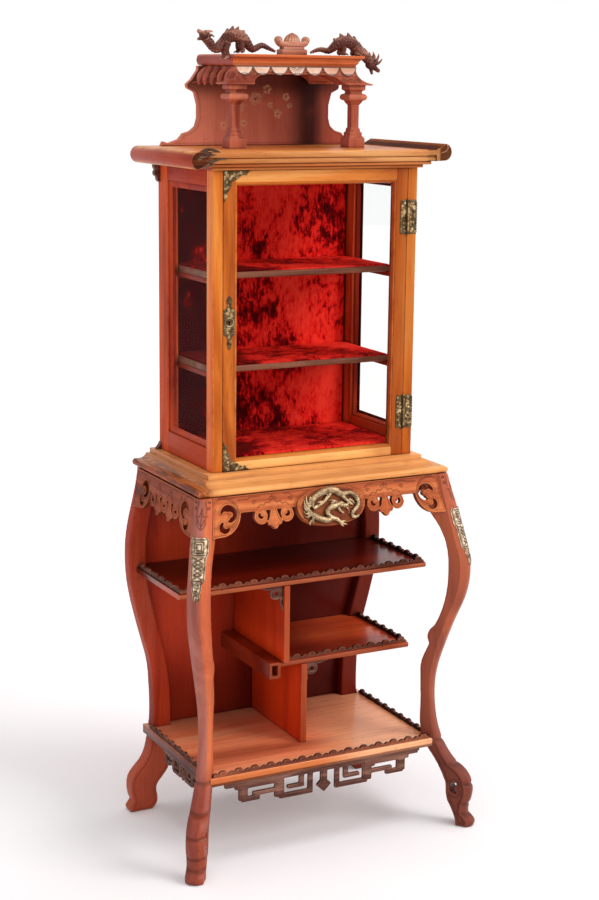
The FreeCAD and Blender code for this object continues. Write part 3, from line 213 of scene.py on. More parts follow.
def makeStudio(spec):
    scene = bpy.context.scene
    scene.view_settings.view_transform = "Standard"
    world = bpy.data.worlds.new("studio")
    world.use_nodes = True
    world.node_tree.nodes.clear()
    wire = Wire(world.node_tree)
    rays = [wire.node("ShaderNodeLightPath", out=kind)
            for kind in ("Is Camera Ray", "Is Glossy Ray", "Is Transmission Ray")]
    seen = wire.maths("MAXIMUM", rays[0], wire.maths("MAXIMUM", rays[1], rays[2]))
    dim = wire.node("ShaderNodeBackground", {}, {"Color": (1, 1, 1, 1), "Strength": spec["ambient"]})
    white = wire.node("ShaderNodeBackground", {}, {"Color": (1, 1, 1, 1), "Strength": 1.0})
    both = wire.node("ShaderNodeMixShader", {}, {0: seen, 1: dim, 2: white})
    closeFinish(wire, both, "World")
    scene.world = world

    for name, (power, source, spread) in spec["lamps"].items():
        rest()
        bpy.ops.object.light_add(type="SUN")
        lamp = bpy.context.object
        lamp.name = name
        lamp.data.energy = power
        lamp.data.angle = math.radians(spread)
        lamp.matrix_world = Vector(source).to_track_quat("Z", "Y").to_matrix().to_4x4()

    rest()
    bpy.ops.mesh.primitive_plane_add(size=2 * spec["floorHalf"], location=(0, 0, spec["floorDrop"]))
    floor = bpy.context.object
    floor.name = "floor"
    material, wire, place = newFinish("floorPaper")
    paper = wire.mix(place.noise(1.4, 3.0), tone(spec["floorTone"]), tone(spec["cloudTone"]))
    matt = wire.node("ShaderNodeBsdfDiffuse", {}, {"Color": paper})
    seen = wire.maths("MAXIMUM", wire.node("ShaderNodeLightPath", out="Is Camera Ray"),
                      wire.node("ShaderNodeLightPath", out="Is Glossy Ray"))
    glow = wire.node("ShaderNodeEmission", {}, {"Color": (1, 1, 1, 1), "Strength": seen * spec["floorGlow"]})
    closeFinish(wire, wire.node("ShaderNodeAddShader", {}, {0: matt, 1: glow}))
    floor.data.materials.append(material)


makeCamera(cameraView)
makeStudio(studio)
print("camera, floor and light set")


# Finishes


def wood(shades, figure, shine, coat, **more):
    # shades are light, mid, dark and deep; side, front and left are shades for faces that look that way,
    # partly the wood's own hue there and partly painted light and shade
    return {"shades": shades, "figure": figure, "shine": shine, "coat": coat, **more}


def like(kind, **changes):
    return {**woods[kind], **changes}


# a shift turns the wood towards a shade: its axis, where it rises and falls along it in metres, and how much;
# many shifts are painted light and shade, as noted below
always, never = (-9, -8.9), (9, 9.1)
woods = {
    "honey": wood("faaa58 de7c2e aa4c18 381208", 15, 0.3, 0.3, side="de582e c44224 822416"),
    "stile": wood("e48e42 ca6a24 984014 381208", 15, 0.3, 0.3, side="d65828 b84020 782214",
        shift=[("x", (0.1, 0.2), never, 0.55, "dark")]),
    "flank": wood("d0522e b23820 781c12 280806", 14, 0.4, 0.04,
        shift=[("z", always, (0.92, 0.98), 0.6, "light")]),
    "red": wood("b0381e 922816 58120a 180403", 12, 0.32, 0.2, calm=True),
    # the panel's front is painted darker towards its right, as shade behind the divider; it also darkens low
    # down and high up
    "panel": wood("ea5830 ca4024 741b10 140403", 12, 0.32, 0.15, calm=True,
        shift=[("x", (-0.22, 0.02), never, 0.9, "dark", "front only"),
        ("z", always, (0.24, 0.44), 0.5, "deep", "front only"),
        ("x", (-0.08, 0.1), never, 0.55, "deep", "front only"),
        ("z", (0.62, 0.72), never, 0.5, "deep", "front only")]),
    "glossy": wood("be3e1c 721a0d 320906 100302", 4, 0.26, 0.62, side="e26032 c44824 7c2614",
        front="c46c3e a6502e 702e1c", shift=[("y", (0.0, 0.15), never, 0.85, "dark")]),
    # the dividers are painted brighter low down and at the front, darker higher up and towards the back:
    # painted light and shade
    "ember": wood("f45c24 e04218 881a0a 1e0503", 9, 0.3, 0.3, front="ce683a b0502c 782e1a", calm=True,
        shift=[("z", (0.4, 0.47), never, 0.55, "dark"), ("y", (0.06, 0.19), never, 0.4, "dark")]),
    # the bottom shelf is painted lighter towards the right, as light on it, and darker towards the back, as
    # shade under the shelves above
    "pale": wood("ffba8a ff9062 a6442c 3c160c", 6, 0.28, 0.4, side="965c4e 7a4238 502822",
        front="ec9254 d0723e 964628", shift=[("x", (-0.02, 0.12), never, 0.85, "light"),
        ("y", (0.04, 0.19), never, 0.45, "dark"),
        ("z", always, (0.1835, 0.1865), 0.75, "deep", "all round")]),
    "apron": wood("e4864e c06036 7a3420 240e09", 20, 0.4, 0.08, side="c66a48 a04c34 642c1e", relief=0.5),
    # the leg's left faces carry a painted reflection, pinkish mauve
    "leg": wood("ec8a56 ce6640 8a3a2c 280e0a", 16, 0.34, 0.35, left="d68876 b26658 763e36", relief=0.5,
        calm=True, shift=[("z", always, (0.16, 0.26), 0.8, "dark")]),
    "rightLeg": wood("ce6c48 a0543e 723a30 220c09", 16, 0.34, 0.2, relief=0.3, calm=True,
        shift=[("z", (0.5, 0.72), never, 0.5, "light"), ("z", always, (0.14, 0.3), 0.8, "dark")]),
    # the back legs are painted darker towards the right, as shade
    "hind": wood("c46248 b23a20 681e14 1a0806", 14, 0.34, 0.12, calm=True,
        shift=[("z", always, (0.14, 0.19), 0.6, "light"), ("x", (-0.05, 0.1), never, 0.75, "dark"),
        ("x", (0.0, 0.2), never, 0.3, "deep")]),
    "dark": wood("ce9278 743e32 381a16 100706", 40, 0.3, 0.4, relief=0.9),
    "fret": wood("a47462 6a4238 3a201b 100706", 40, 0.36, 0.25, relief=0.6,
        shift=[("x", (0.22, 0.27), never, 0.65, "deep")]),
    "ebony": wood("b08460 462a22 221310 0a0504", 60, 0.32, 0.3, relief=0.9),
    "shrine": wood("cc7454 ac563e 6c2a1e 240c09", 20, 0.38, 0.1, side="d67a6c b85e54 7a3832", relief=0.4),
    # the board's front is painted dark at its top and in a band behind the right column: painted shadows of
    # the roof and column
    "board": wood("e28a70 c66c56 88382a 280907", 10, 0.4, 0.08, calm=True, paint="cea07a",
        shift=[("x", always, (-0.16, -0.04), 0.7, "light"), ("x", (0.0, 0.08), never, 0.35, "dark"),
        ("z", (1.585, 1.63), never, 0.75, "deep", "front only"),
        ("x", (0.03, 0.104), (0.116, 0.162), 0.95, "deep", "front only")]),
    "tan": wood("e2a488 bc765e 784434 2e140e", 26, 0.4, 0.2, relief=0.5),
    "cove": wood("ec8e58 ce6436 8c381e 32120a", 16, 0.32, 0.25, side="ce6254 ac463c 702824"),
    "shelfEdge": wood("a66c54 88523e 542c20 220e0a", 20, 0.4, 0.2),
}
woods["slab"] = like("honey", shades="f0a660 d47c3c 9e4e22 381208", coat=0.15, side="c44a2a a83620 701e14",
    front="e09e62 c67a42 944e28", dull=(0.225, 0.24), shift=[("x", (0.234, 0.25), (0.272, 0.3), 0.97, "deep"),
    ("x", (0.272, 0.29), never, 0.7, "dark"), ("x", (0.268, 0.274), never, 0.85, "deep", "front only"),
    ("x", always, (-0.262, -0.256), 0.97, "deep", "front only")])
woods["cornice"] = like("honey", shades="dc8848 b8622e 7c381a 381208")
woods["post"] = like("honey", coat=0.04, side="ffb068 ff8a46 f05e2c",
    shift=[("x", (0.1, 0.2), never, 0.45, "dark")])
woods["rear"] = like("flank", shades="f47442 de582c 902e1a 280806", shift=[])
# a lit copy of the glossy shelf wood: painted light, with painted shadow at its left beside the divider
woods["lit"] = like("glossy", shades="ff7a3e e25228 68180c 100302", coat=0.5,
    shift=[("x", always, (0.02, 0.11), 0.7, "dark")])
# the gallery strips are painted darker towards the right, as shade on their inner faces
woods["ripple"] = like("fret", shades="885440 542c22 2c1410 100706", front="c4704c 844632 46221a",
    shift=[("x", (0.05, 0.2), never, 0.8, "deep")])
woods["step"] = like("honey", shades="ffbc74 e89048 aa4c18 381208", scuff=(-0.262, -0.276, 0.65),
    shift=[("x", always, (-0.28, -0.235), 0.85, "dark"), ("x", (-0.3, -0.25), never, 0.45, "light")])
woods["rail"] = like("honey", shades="ffc274 e88c40 aa4c18 381208",
    shift=[("z", always, (0.9, 0.95), 0.7, "light"), ("x", (0.1, 0.2), never, 0.4, "dark")])
grainStretch = {"x": (0.09, 1.0, 1.0), "y": (1.0, 0.09, 1.0), "z": (1.0, 1.0, 0.09)}
fibreStretch = {"x": (0.02, 1.0, 1.0), "y": (1.0, 0.02, 1.0), "z": (1.0, 1.0, 0.02)}


@cache
def woodFinish(kind, grain):
    # kind is a name in woods; grain runs along x, y or z, or xy where the sides turn the corner
    spec = woods[kind]
    material, wire, place = newFinish(kind + "Wood" + grain.upper())
    where = {axis.lower(): place.part(axis) for axis in "XYZ"}
    facing = wire.seat("Normal")
    sideways, forward = facing.part("X"), facing.part("Y")
    across, ahead = wire.maths("ABSOLUTE", sideways), wire.maths("ABSOLUTE", forward)
    if grain == "xy":
        turned = across > 0.7
        broad, fine = (wire.mix(turned, place.stretch(pull["x"]), place.stretch(pull["y"]))
                       for pull in (grainStretch, fibreStretch))
    else:
        broad, fine = (place.stretch(pull[grain]) for pull in (grainStretch, fibreStretch))
    figure = broad.noise(spec["figure"], 4.0, 0.55, 1.1)
    fibre = fine.noise(190, 2.0, 0.6, 0.3)
    pores = fine.noise(820, 1.0, 0.5, 0.2).ease(0.62, 0.74)
    stainAndShade = place.noise(6.5, 5.0, 0.62, 0.4).ease(0.54, 0.76)
    speck = place.noise(150, 2.0, 0.5, 0.0).ease(0.70, 0.76)
    light, mid, dark, deep = tones(spec["shades"])
    calm = spec.get("calm")
    stops = (0.16, 0.48, 0.84) if calm else (0.27, 0.48, 0.70)
    strength = 0.5 if calm else 1.0
    colour = figure.ramp(zip(stops, (dark, mid, light)))
    # faces that look sideways, forward or left take other shades: partly the wood's own hue, partly painted
    # light and shade by facing
    for key, share in (("side", across), ("front", ahead), ("left", 0.0 - sideways)):
        if key in spec:
            other = figure.ramp(zip(stops, reversed(tones(spec[key]))))
            turned = share.ease(0.1, 0.6) if key == "left" else share.ease(0.45, 0.85)
            colour = wire.mix(turned, colour, other)
    # shifts along an axis towards a lighter or darker shade: painted light and shade in some woods, just
    # darker or lighter towards one end in others
    for axis, rise, fall, amount, aim, *over in spec.get("shift", ()):
        zone = where[axis].ease(*rise) * where[axis].ease(*reversed(fall)) * amount
        if over == ["front only"]:
            zone = zone * (0.0 - forward).ease(0.75, 0.95)
        elif aim != "light" and not over:
            zone = zone * (1.0 - ahead.ease(0.45, 0.85) * (0.7 if "front" in spec else 0.0))
        colour = wire.mix(zone, colour, {"light": light, "dark": dark, "deep": deep}[aim])
    colour = wire.mix(fibre.ease(0.50, 0.78) * (0.34 * strength), colour, dark)
    colour = wire.mix(pores * (0.45 * strength), colour, deep)
    if "paint" in spec:
        worn = place.noise(240, 3.0, 0.6).ease(0.34, 0.62)
        colour = wire.mix(wire.marks("painted") * worn * 0.85, colour, tone(spec["paint"]))
    colour = wire.mix(stainAndShade * 0.34, colour, dark)
    colour = wire.mix(speck * 0.5, colour, deep)
    # lighter along edges, where the polish is rubbed thin and a highlight is painted; darker in corners and
    # cuts, with dirt and painted shade
    eased = wire.node("ShaderNodeBevel", {"samples": 4}, {"Radius": 0.0022})
    flat = wire.form("Normal")
    match = wire.node("ShaderNodeVectorMath", {"operation": "DOT_PRODUCT"}, {0: eased, 1: flat}, out="Value")
    edgeWearAndHighlight = (1.0 - match).ease(0.02, 0.20) * place.noise(55, 3.0).ease(0.35, 0.60)
    dirtAndShade = wire.dirtAndShade(0.009, 0.24, 0.80)
    # a painted highlight tone, lighter than the wood's lightest shade
    highlightTone = tone(spec["shades"].split()[0], lift=26)
    colour = wire.mix(edgeWearAndHighlight * 0.55, colour, highlightTone)
    # carved ridges get a painted highlight, and hollows a painted shade
    if "relief" in spec:
        ridge = wire.form("Pointiness")
        colour = wire.mix(ridge.ease(0.515, 0.60) * spec["relief"], colour, highlightTone)
        colour = wire.mix(ridge.ease(0.49, 0.42) * spec["relief"] * 0.7, colour, deep)
    if "scuff" in spec:
        low, high, amount = spec["scuff"]
        scuff = place.stretch((2.4, 0.35, 2.4)).noise(30, 5.0, 0.7, 0.4).ease(0.47, 0.58)
        colour = wire.mix(scuff * where["x"].ease(low, high) * amount, colour, deep)
    # corners, joints and recesses are darkened: painted shade, with some dirt
    colour = wire.mix(dirtAndShade * 0.72, colour, deep)
    # places marked as cut are darker: painted shade in grooves, piercings and between scales, and on the
    # shrine board the painted hearts of the flowers
    colour = wire.mix(wire.marks("carved") * 0.75, colour, deep)
    rough = spec["shine"] + fibre * 0.10 + stainAndShade * 0.12 + dirtAndShade * 0.2
    coat = spec["coat"]
    if "dull" in spec:
        rough = rough + where["x"].ease(*spec["dull"]) * 0.35
        coat = (1.0 - where["x"].ease(*spec["dull"])) * coat
    height = fibre * 0.5 - pores * 0.8
    return polished(material, wire, {
        "Base Color": colour, "Roughness": rough, "Normal": wire.bump(0.22, 0.0004, height), "IOR": 1.14,
        "Coat Weight": coat, "Coat Roughness": 0.17, "Coat IOR": 1.25})


brass = {"cast": "d6bc94 a68a68 604c36 18110c", "knee": "eed6ba bea286 685240 1a120d",
         "plate": "e2c492 a6865c 604a30 100c08"}


@cache
def brassFinish(age):
    material, wire, place = newFinish(age + "Brass")
    patina = place.noise(90, 5.0, 0.6, 0.4)
    light, mid, dark, deep = tones(brass[age])
    dirtAndShade = wire.dirtAndShade(0.008, 0.20, 0.75)
    colour = patina.ramp([(0.30, dark), (0.50, mid), (0.68, light)])
    # hollows and corners are darker: patina and dirt, with painted shade
    for mask in (wire.form("Pointiness").ease(0.50, 0.43) * 0.7, dirtAndShade * 0.85, wire.marks("carved") * 0.8):
        colour = wire.mix(mask, colour, deep)
    return polished(material, wire, {
        "Base Color": colour, "Metallic": 1.0 - dirtAndShade * 0.6, "Roughness": 0.36 + patina * 0.2 + dirtAndShade * 0.3,
        "Normal": wire.bump(0.3, 0.0003, place.noise(900, 2.0) + patina)})


velvet = {"pile": "ff3e2e ee1e1b 9a0a0d 480206", "sheen": "ff4632"}


@cache
def velvetFinish():
    material, wire, place = newFinish("crushedVelvet")
    bent = place.stretch((1.0, 1.0, 0.75))
    patches = bent.noise(9, 3.0, 0.6, 0.3)
    crush = bent.noise(42, 7.0, 0.74, 0.2)
    flecks = place.stretch((1.0, 1.0, 0.30)).noise(210, 3.0, 0.7, 0.2)
    nap = place.stretch((1.0, 1.0, 0.2)).noise(1300, 2.0)
    bright, mid, dark, shade = tones(velvet["pile"])
    # by the left side, where it is seen through the side window, the pile is painted darker: painted shade
    lean = (0.0 - place.part("X")).ease(0.075, 0.125) * 0.13
    lay = patches * 0.50 + crush * 0.50 + (flecks - 0.5) * 0.34 - lean
    colour = lay.ramp([(0.40, shade), (0.46, dark), (0.49, mid), (0.60, bright)])
    colour = wire.mix(nap.ease(0.5, 0.9) * 0.35, colour, dark)
    return polished(material, wire, {
        "Base Color": colour, "Roughness": 0.85, "Normal": wire.bump(0.5, 0.0015, lay + nap * 0.12),
        "Sheen Weight": 0.22, "Sheen Roughness": 0.35, "Sheen Tint": tone(velvet["sheen"]),
        "Specular IOR Level": 0.04})


@cache
def glassFinish():
    material, wire, place = newFinish("windowGlass")
    smear = place.noise(9, 4.0, 0.6, 0.5)
    slant = wire.node("ShaderNodeLayerWeight", {}, {"Blend": 0.5}, out="Facing")
    gloss = slant ** 5.0 * (0.03 + smear * 0.06)
    clear = wire.node("ShaderNodeBsdfTransparent", {}, {"Color": (0.985, 0.992, 0.988, 1.0)})
    bright = wire.node("ShaderNodeBsdfPrincipled", {}, {
        "Base Color": (0.9, 0.93, 0.92, 1.0), "Metallic": 1.0, "Roughness": 0.02 + smear * 0.05})
    closeFinish(wire, wire.node("ShaderNodeMixShader", {}, {0: gloss, 1: clear, 2: bright}))
    return material


tile = {"face": "f0ceb6", "warm": "e4b494", "brownerRight": "d0845c", "line": "542e20"}


def tileFinish():
    material, wire, place = newFinish("paintedTile")
    wash = place.noise(60, 4.0, 0.6)
    wear = place.noise(320, 3.0, 0.6)
    colour = wire.mix(wash.ease(0.35, 0.70), tone(tile["face"]), tone(tile["warm"]))
    # towards the right the tile is browner
    colour = wire.mix(place.part("X").ease(0.02, 0.10) * 0.75, colour, tone(tile["brownerRight"]))
    for mask in (wire.marks("carved").ease(0.12, 0.55), wear.ease(0.62, 0.72) * 0.35):
        colour = wire.mix(mask, colour, tone(tile["line"]))
    return polished(material, wire, {
        "Base Color": colour, "Roughness": 0.42 + wash * 0.2, "Normal": wire.bump(0.3, 0.0004, wear),
        "Coat Weight": 0.25, "Coat Roughness": 0.3})


print("finishes ready")


# Making and placing pieces


def settle(piece, kind, **settings):
    # adds a modifier and applies it
    take(piece)
    modifier = piece.modifiers.new(kind.lower(), kind)
    for key, value in settings.items():
        setattr(modifier, key, value)
    bpy.ops.object.modifier_apply(modifier=modifier.name)


def relax(piece, rounds):
    settle(piece, "SMOOTH", factor=0.5, iterations=rounds)


def skin(piece, voxel, rounds):
    # a fine even mesh with its edges worn round, ready for carving
    settle(piece, "REMESH", mode="VOXEL", voxel_size=voxel * mm)
    relax(piece, rounds)
    take(piece)
    bpy.ops.object.shade_smooth()
    return piece


def edit(piece):
    take(piece)
    bpy.ops.object.mode_set(mode="EDIT")


def mergedCopy(node, name):
    piece = bpy.data.objects.new(name, nodes[node].data.copy())
    bpy.context.scene.collection.objects.link(piece)
    take(piece)
    bpy.ops.mesh.customdata_custom_splitnormals_clear()
    edit(piece)
    bpy.ops.mesh.select_all(action="SELECT")
    bpy.ops.mesh.remove_doubles(threshold=0.00002)
    rest()
    return piece


def joinUp(pieces, name):
    take(pieces[0])
    for piece in pieces:
        piece.select_set(True)
    bpy.ops.object.join()
    pieces[0].name = name
    pieces[0].data.name = name
    return pieces[0]


def softened(node, voxel, rounds, extra=()):
    # the node, with what is added to it, as one skin
    piece = mergedCopy(node, node + ".carved")
    if extra:
        piece = joinUp([piece, *extra], node + ".carved")
    return skin(piece, voxel, rounds)


def dress(piece, finish):
    piece.data.materials.clear()
    piece.data.materials.append(finish)


def place(piece, node, finish):
    # the piece takes the node's place and body, and wears the given finish
    dress(piece, finish)
    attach(piece, bodyOf[node])
    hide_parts(node)


def sharpEdges(piece, least, length):
    faces = {}
    for face in piece.data.polygons:
        for key in face.edge_keys:
            faces.setdefault(key, []).append(face.normal)
    points = piece.data.vertices
    found = []
    for edge in piece.data.edges:
        sides = faces[edge.key]
        far = (points[edge.vertices[0]].co - points[edge.vertices[1]].co).length > length
        found.append(far and len(sides) == 2 and sides[0].angle(sides[1], 0) > least)
    return found


boardWork = {"flat": 0.4, "sharp": 35, "smooth": 28, "steps": 3, "room": 2.6,  # angles in degrees
             "spared": {"front_posts": 13.0, "door_lock_stile": 19.0}}  # the bolt's way stays sharp, in mm


def easedBoard(node, width, finish):
    # a board with its edges rounded over
    piece = mergedCopy(node, node + ".board")
    edit(piece)
    bpy.ops.mesh.select_all(action="SELECT")
    bpy.ops.mesh.dissolve_limited(angle_limit=math.radians(boardWork["flat"]))
    bpy.ops.mesh.select_all(action="DESELECT")
    rest()
    # only sharp edges that are long beside the rounding, so that no corner folds over
    shortest = max(boardWork["room"] * width, boardWork["spared"].get(node, 0)) * mm
    for edge, sharp in zip(piece.data.edges, sharpEdges(piece, math.radians(boardWork["sharp"]), shortest)):
        edge.select = sharp
    edit(piece)
    bpy.ops.mesh.select_mode(type="EDGE")
    bpy.ops.mesh.bevel(offset=width * mm, offset_type="OFFSET", segments=boardWork["steps"],
                       clamp_overlap=False)
    bpy.ops.mesh.select_mode(type="VERT")
    rest()
    settle(piece, "TRIANGULATE", quad_method="BEAUTY", ngon_method="BEAUTY")
    take(piece)
    bpy.ops.object.shade_smooth_by_angle(angle=math.radians(boardWork["smooth"]))
    place(piece, node, finish)


def readPoints(piece):
    # its points and the ways they face
    found = []
    for key in ("co", "normal"):
        values = np.empty(len(piece.data.vertices) * 3)
        piece.data.vertices.foreach_get(key, values)
        found.append(values.reshape(-1, 3))
    return found


def writePoints(piece, spots, cut=None):
    piece.data.vertices.foreach_set("co", spots.ravel())
    if cut is not None:
        layer = piece.data.attributes.get("carved") or piece.data.attributes.new("carved", "FLOAT", "POINT")
        layer.data.foreach_set("value", np.clip(cut, 0, 1).astype(np.float32))
    piece.data.update()


def readCut(piece):
    layer = piece.data.attributes.get("carved")
    values = np.zeros(len(piece.data.vertices), np.float32)
    if layer:
        layer.data.foreach_get("value", values)
    return values.astype(float)


def treeOf(targets):
    tree = KDTree(len(targets))
    for index, spot in enumerate(targets):
        tree.insert(spot, index)
    tree.balance()
    return tree


def carveRims(piece, facings, rim, width, depth, stainAndShade=1.0, weight=None, crown=0.0, least=0.82):
    # a groove that follows every edge of the faces that look the given ways, marked darker, which in wood is
    # painted shade in the groove; sizes in mm
    spots, turns = readPoints(piece)
    cut = readCut(piece)
    moved = spots.copy()
    for facing in facings:
        facing = np.array(facing, float)
        lean = turns @ facing
        face, wall = lean > least, np.abs(lean) <= least
        if not face.any() or not wall.any():
            continue
        tree = treeOf(spots[wall])
        away = np.array([tree.find(spot)[2] for spot in spots[face]]) / mm
        groove = np.exp(-((away - rim) / width) ** 2)
        share = weight(spots[face]) if weight else 1.0
        raised = crown * np.exp(-((away - rim / 2) / (rim / 2)) ** 2)
        moved[face] += facing * ((raised - depth * groove) * share * mm)[:, None]
        cut[face] = np.maximum(cut[face], groove * share * stainAndShade)
    writePoints(piece, moved, cut)


def lineGap(flat, lines):
    # the distance of each flat point to the nearest of the lines
    best = np.full(len(flat), 1e9)
    for line in lines:
        points = np.array(line, float)
        for start, end in zip(points[:-1], points[1:]):
            along = end - start
            share = np.clip(((flat - start) @ along) / max(along @ along, 1e-12), 0, 1)
            gap = np.linalg.norm(flat - start - share[:, None] * along, axis=1)
            best = np.minimum(best, gap)
    return best


frontFace = ((0, -1, 0), (0, 0, 0), (1, 0, 0), (0, 0, 1))  # looks forward, measured from the frame's origin


def carveLines(piece, face, lines, width, depth, stainAndShade=1.0, least=0.7, near=True):
    # cuts lines into the surface that looks one way, given in mm right and up from an origin, and marks them
    # darker, which in wood is painted shade in the cut
    spots, turns = readPoints(piece)
    cut = readCut(piece)
    facing, origin, right, up = (np.array(v, float) for v in face)
    chosen = np.where((turns @ facing > least) & near)[0]
    away = (spots[chosen] - origin) / mm
    flat = np.stack([away @ right, away @ up], axis=1)
    groove = np.exp(-(lineGap(flat, lines) / width) ** 2)
    spots[chosen] -= facing * (depth * groove * mm)[:, None]
    cut[chosen] = np.maximum(cut[chosen], groove * stainAndShade)
    writePoints(piece, spots, cut)


def arc(x, y, radius, start, end, steps=12):
    turns = [math.radians(start + (end - start) * i / steps) for i in range(steps + 1)]
    return [(x + radius * math.cos(a), y + radius * math.sin(a)) for a in turns]


curlWork = {"close": 0.15, "steps": 22}


def spiral(x, y, radius, start, turns):
    line = []
    for i in range(curlWork["steps"] + 1):
        share = i / curlWork["steps"]
        a = math.radians(start) + 2 * math.pi * turns * share
        reach = radius * (1 - (1 - curlWork["close"]) * share)
        line.append((x + reach * math.cos(a), y + reach * math.sin(a)))
    return line


def foliage(left, right, low, high, count, seed, size, turns=1.5):
    # curls that fill a rectangle
    draw = random.Random(seed)
    return [spiral(draw.uniform(left, right), draw.uniform(low, high), draw.uniform(*size),
                   draw.uniform(0, 360), draw.choice((-turns, turns))) for _ in range(count)]


def mirrored(lines):
    return lines + [[(-x, y) for x, y in line] for line in lines]


def tube(points, radii, sides=3, smooth=4):
    # a round limb through the points, its radii in mm
    curve = bpy.data.curves.new("limb", "CURVE")
    curve.dimensions = "3D"
    curve.bevel_depth = mm
    curve.bevel_resolution = sides
    curve.resolution_u = smooth
    curve.use_fill_caps = True
    spline = curve.splines.new("NURBS")
    spline.points.add(len(points) - 1)
    for point, spot, radius in zip(spline.points, points, radii):
        point.co = (*spot, 1.0)
        point.radius = radius
    spline.order_u = 3
    spline.use_endpoint_u = True
    limb = bpy.data.objects.new("limb", curve)
    bpy.context.scene.collection.objects.link(limb)
    take(limb)
    bpy.ops.object.convert(target="MESH")
    return bpy.context.object


def ball(centre, size):
    rest()
    bpy.ops.mesh.primitive_uv_sphere_add(segments=20, ring_count=12, radius=1.0)
    made = bpy.context.object
    made.data.transform(Matrix.Translation(centre) @ Matrix.Diagonal((*[s * mm for s in size], 1.0)))
    return made


def smoothLine(points, rounds=4):
    # the line that a limb through these points follows, by cutting its corners
    line = np.array(points, float)
    for _ in range(rounds):
        cut = [line[0]]
        for start, end in zip(line[:-1], line[1:]):
            cut += [start * 0.75 + end * 0.25, start * 0.25 + end * 0.75]
        line = np.array(cut + [line[-1]])
    return line


def scaleSkin(piece, paths, side, pitch, depth, reach=13.0):
    # rows of overlapping scales along limbs; the side is a way across them, sizes in mm
    spots, turns = readPoints(piece)
    samples, walked = [], []
    for path in paths:
        line = smoothLine(path)
        length = np.concatenate([[0], np.cumsum(np.linalg.norm(np.diff(line, axis=0), axis=1))])
        fine = np.linspace(0, length[-1], max(8, int(length[-1] / (0.8 * mm))))
        samples.append(np.stack([np.interp(fine, length, line[:, i]) for i in range(3)], axis=1))
        walked.append(fine / mm)
    samples, walked = np.concatenate(samples), np.concatenate(walked)
    tree = treeOf(samples)
    index, gap = zip(*[tree.find(spot)[1:] for spot in spots])
    index, close = np.array(index), np.array(gap) / mm < reach
    across = ((spots - samples[index]) @ np.array(side)) / mm
    wave = math.pi / pitch
    rows = np.abs(np.cos(wave * (walked[index] + across))) * np.abs(np.cos(wave * (walked[index] - across)))
    share = close * (0.35 + 0.65 * np.abs(np.sin(wave * walked[index] * 0.5)))
    spots += turns * ((rows ** 0.7 - 0.5) * depth * share * mm)[:, None]
    # the gaps between the scales are marked darker: painted shade
    writePoints(piece, spots, np.maximum(readCut(piece), (1 - rows) ** 3 * 0.5 * close))


def spines(path, height, radius, first, last, count):
    # a row of pointed fins along the top of a limb
    line = smoothLine(path)
    upward = Vector((0, 0, 1))
    made = []
    for index in range(count):
        share = first + (last - first) * index / (count - 1)
        spot = Vector(line[int(share * (len(line) - 1))])
        ahead = Vector(line[min(len(line) - 1, int(share * (len(line) - 1)) + 3)]) - spot
        back = -ahead.normalized()
        tall = height * math.sin(math.pi * (0.15 + 0.7 * share))
        foot = spot + upward * (radius * 0.6 * mm)
        tip = spot + upward * ((radius + tall) * mm) + back * (tall * 0.6 * mm)
        made.append(tube([foot - back * 4 * mm, foot + upward * 4 * mm, tip], [6.4, 5.6, 1.4], 2, 3))
    return made


# Boards, rails and mouldings

boards = {
    "door_lock_stile": (1.0, "stile", "z"), "door_hinge_stile": (1.0, "stile", "z"),
    "door_rails": (1.0, "rail", "x"), "door_glass_beads": (0.8, "stile", "x"),
    "front_posts": (1.2, "post", "z"), "back_posts": (1.0, "rear", "z"),
    "side_top_rails": (1.0, "flank", "y"), "side_bottom_rails": (1.0, "flank", "y"),
    "side_glass_beads": (0.7, "flank", "z"), "base_moulding": (0.8, "step", "xy"),
    "cornice_moulding": (0.8, "cornice", "xy"), "top_slab": (0.8, "slab", "xy"),
    "shrine_columns": (0.7, "shrine", "z"),
    "upper_shelf": (0.8, "glossy", "x"), "middle_shelf": (0.8, "lit", "x"),
    "bottom_shelf": (0.8, "pale", "x"), "upper_divider": (0.8, "ember", "z"),
    "lower_divider": (0.8, "ember", "z"), "case_shelves": (0.8, "shelfEdge", "x"),
    "shelf_battens": (0.8, "red", "y"), "case_floor": (0.8, "red", "x"), "case_ceiling": (0.8, "red", "x"),
    "case_back_board": (0.8, "red", "z"), "stand_back_panel": (0.8, "panel", "z"),
}
for node, (width, kind, grain) in boards.items():
    easedBoard(node, width, woodFinish(kind, grain))
print("boards eased")


# Carved pieces


def smoothBetween(values, low, high):
    share = np.clip((values - low) / (high - low), 0, 1)
    return share * share * (3 - 2 * share)


frontApron = {
    "lean": 18, "face": (0.0, -0.13521, 0.803), "voxel": 1.3, "pendants": (-133, 133), "end": 280,
    "walls": 0.6, "cartouche": 0.72}
sideApron = {
    "lean": 8, "face": (0.297, 0.03229, 0.803), "voxel": 1.3, "pendants": (-30, 30), "end": 157,
    "walls": 1.0}


class Board:
    # a leaning face: right and up along it and out of it, in mm from its top middle
    def __init__(self, face, right, lean):
        self.face = Vector(face)
        self.right = Vector(right)
        outward = self.right.cross(Vector((0, 0, 1)))
        lean = math.radians(lean)
        self.out = outward * math.cos(lean) + Vector((0, 0, math.sin(lean)))
        self.up = Vector((0, 0, math.cos(lean))) - outward * math.sin(lean)

    def spot(self, right, up, out=0.0):
        return self.face + (self.right * right + self.up * up + self.out * out) * mm


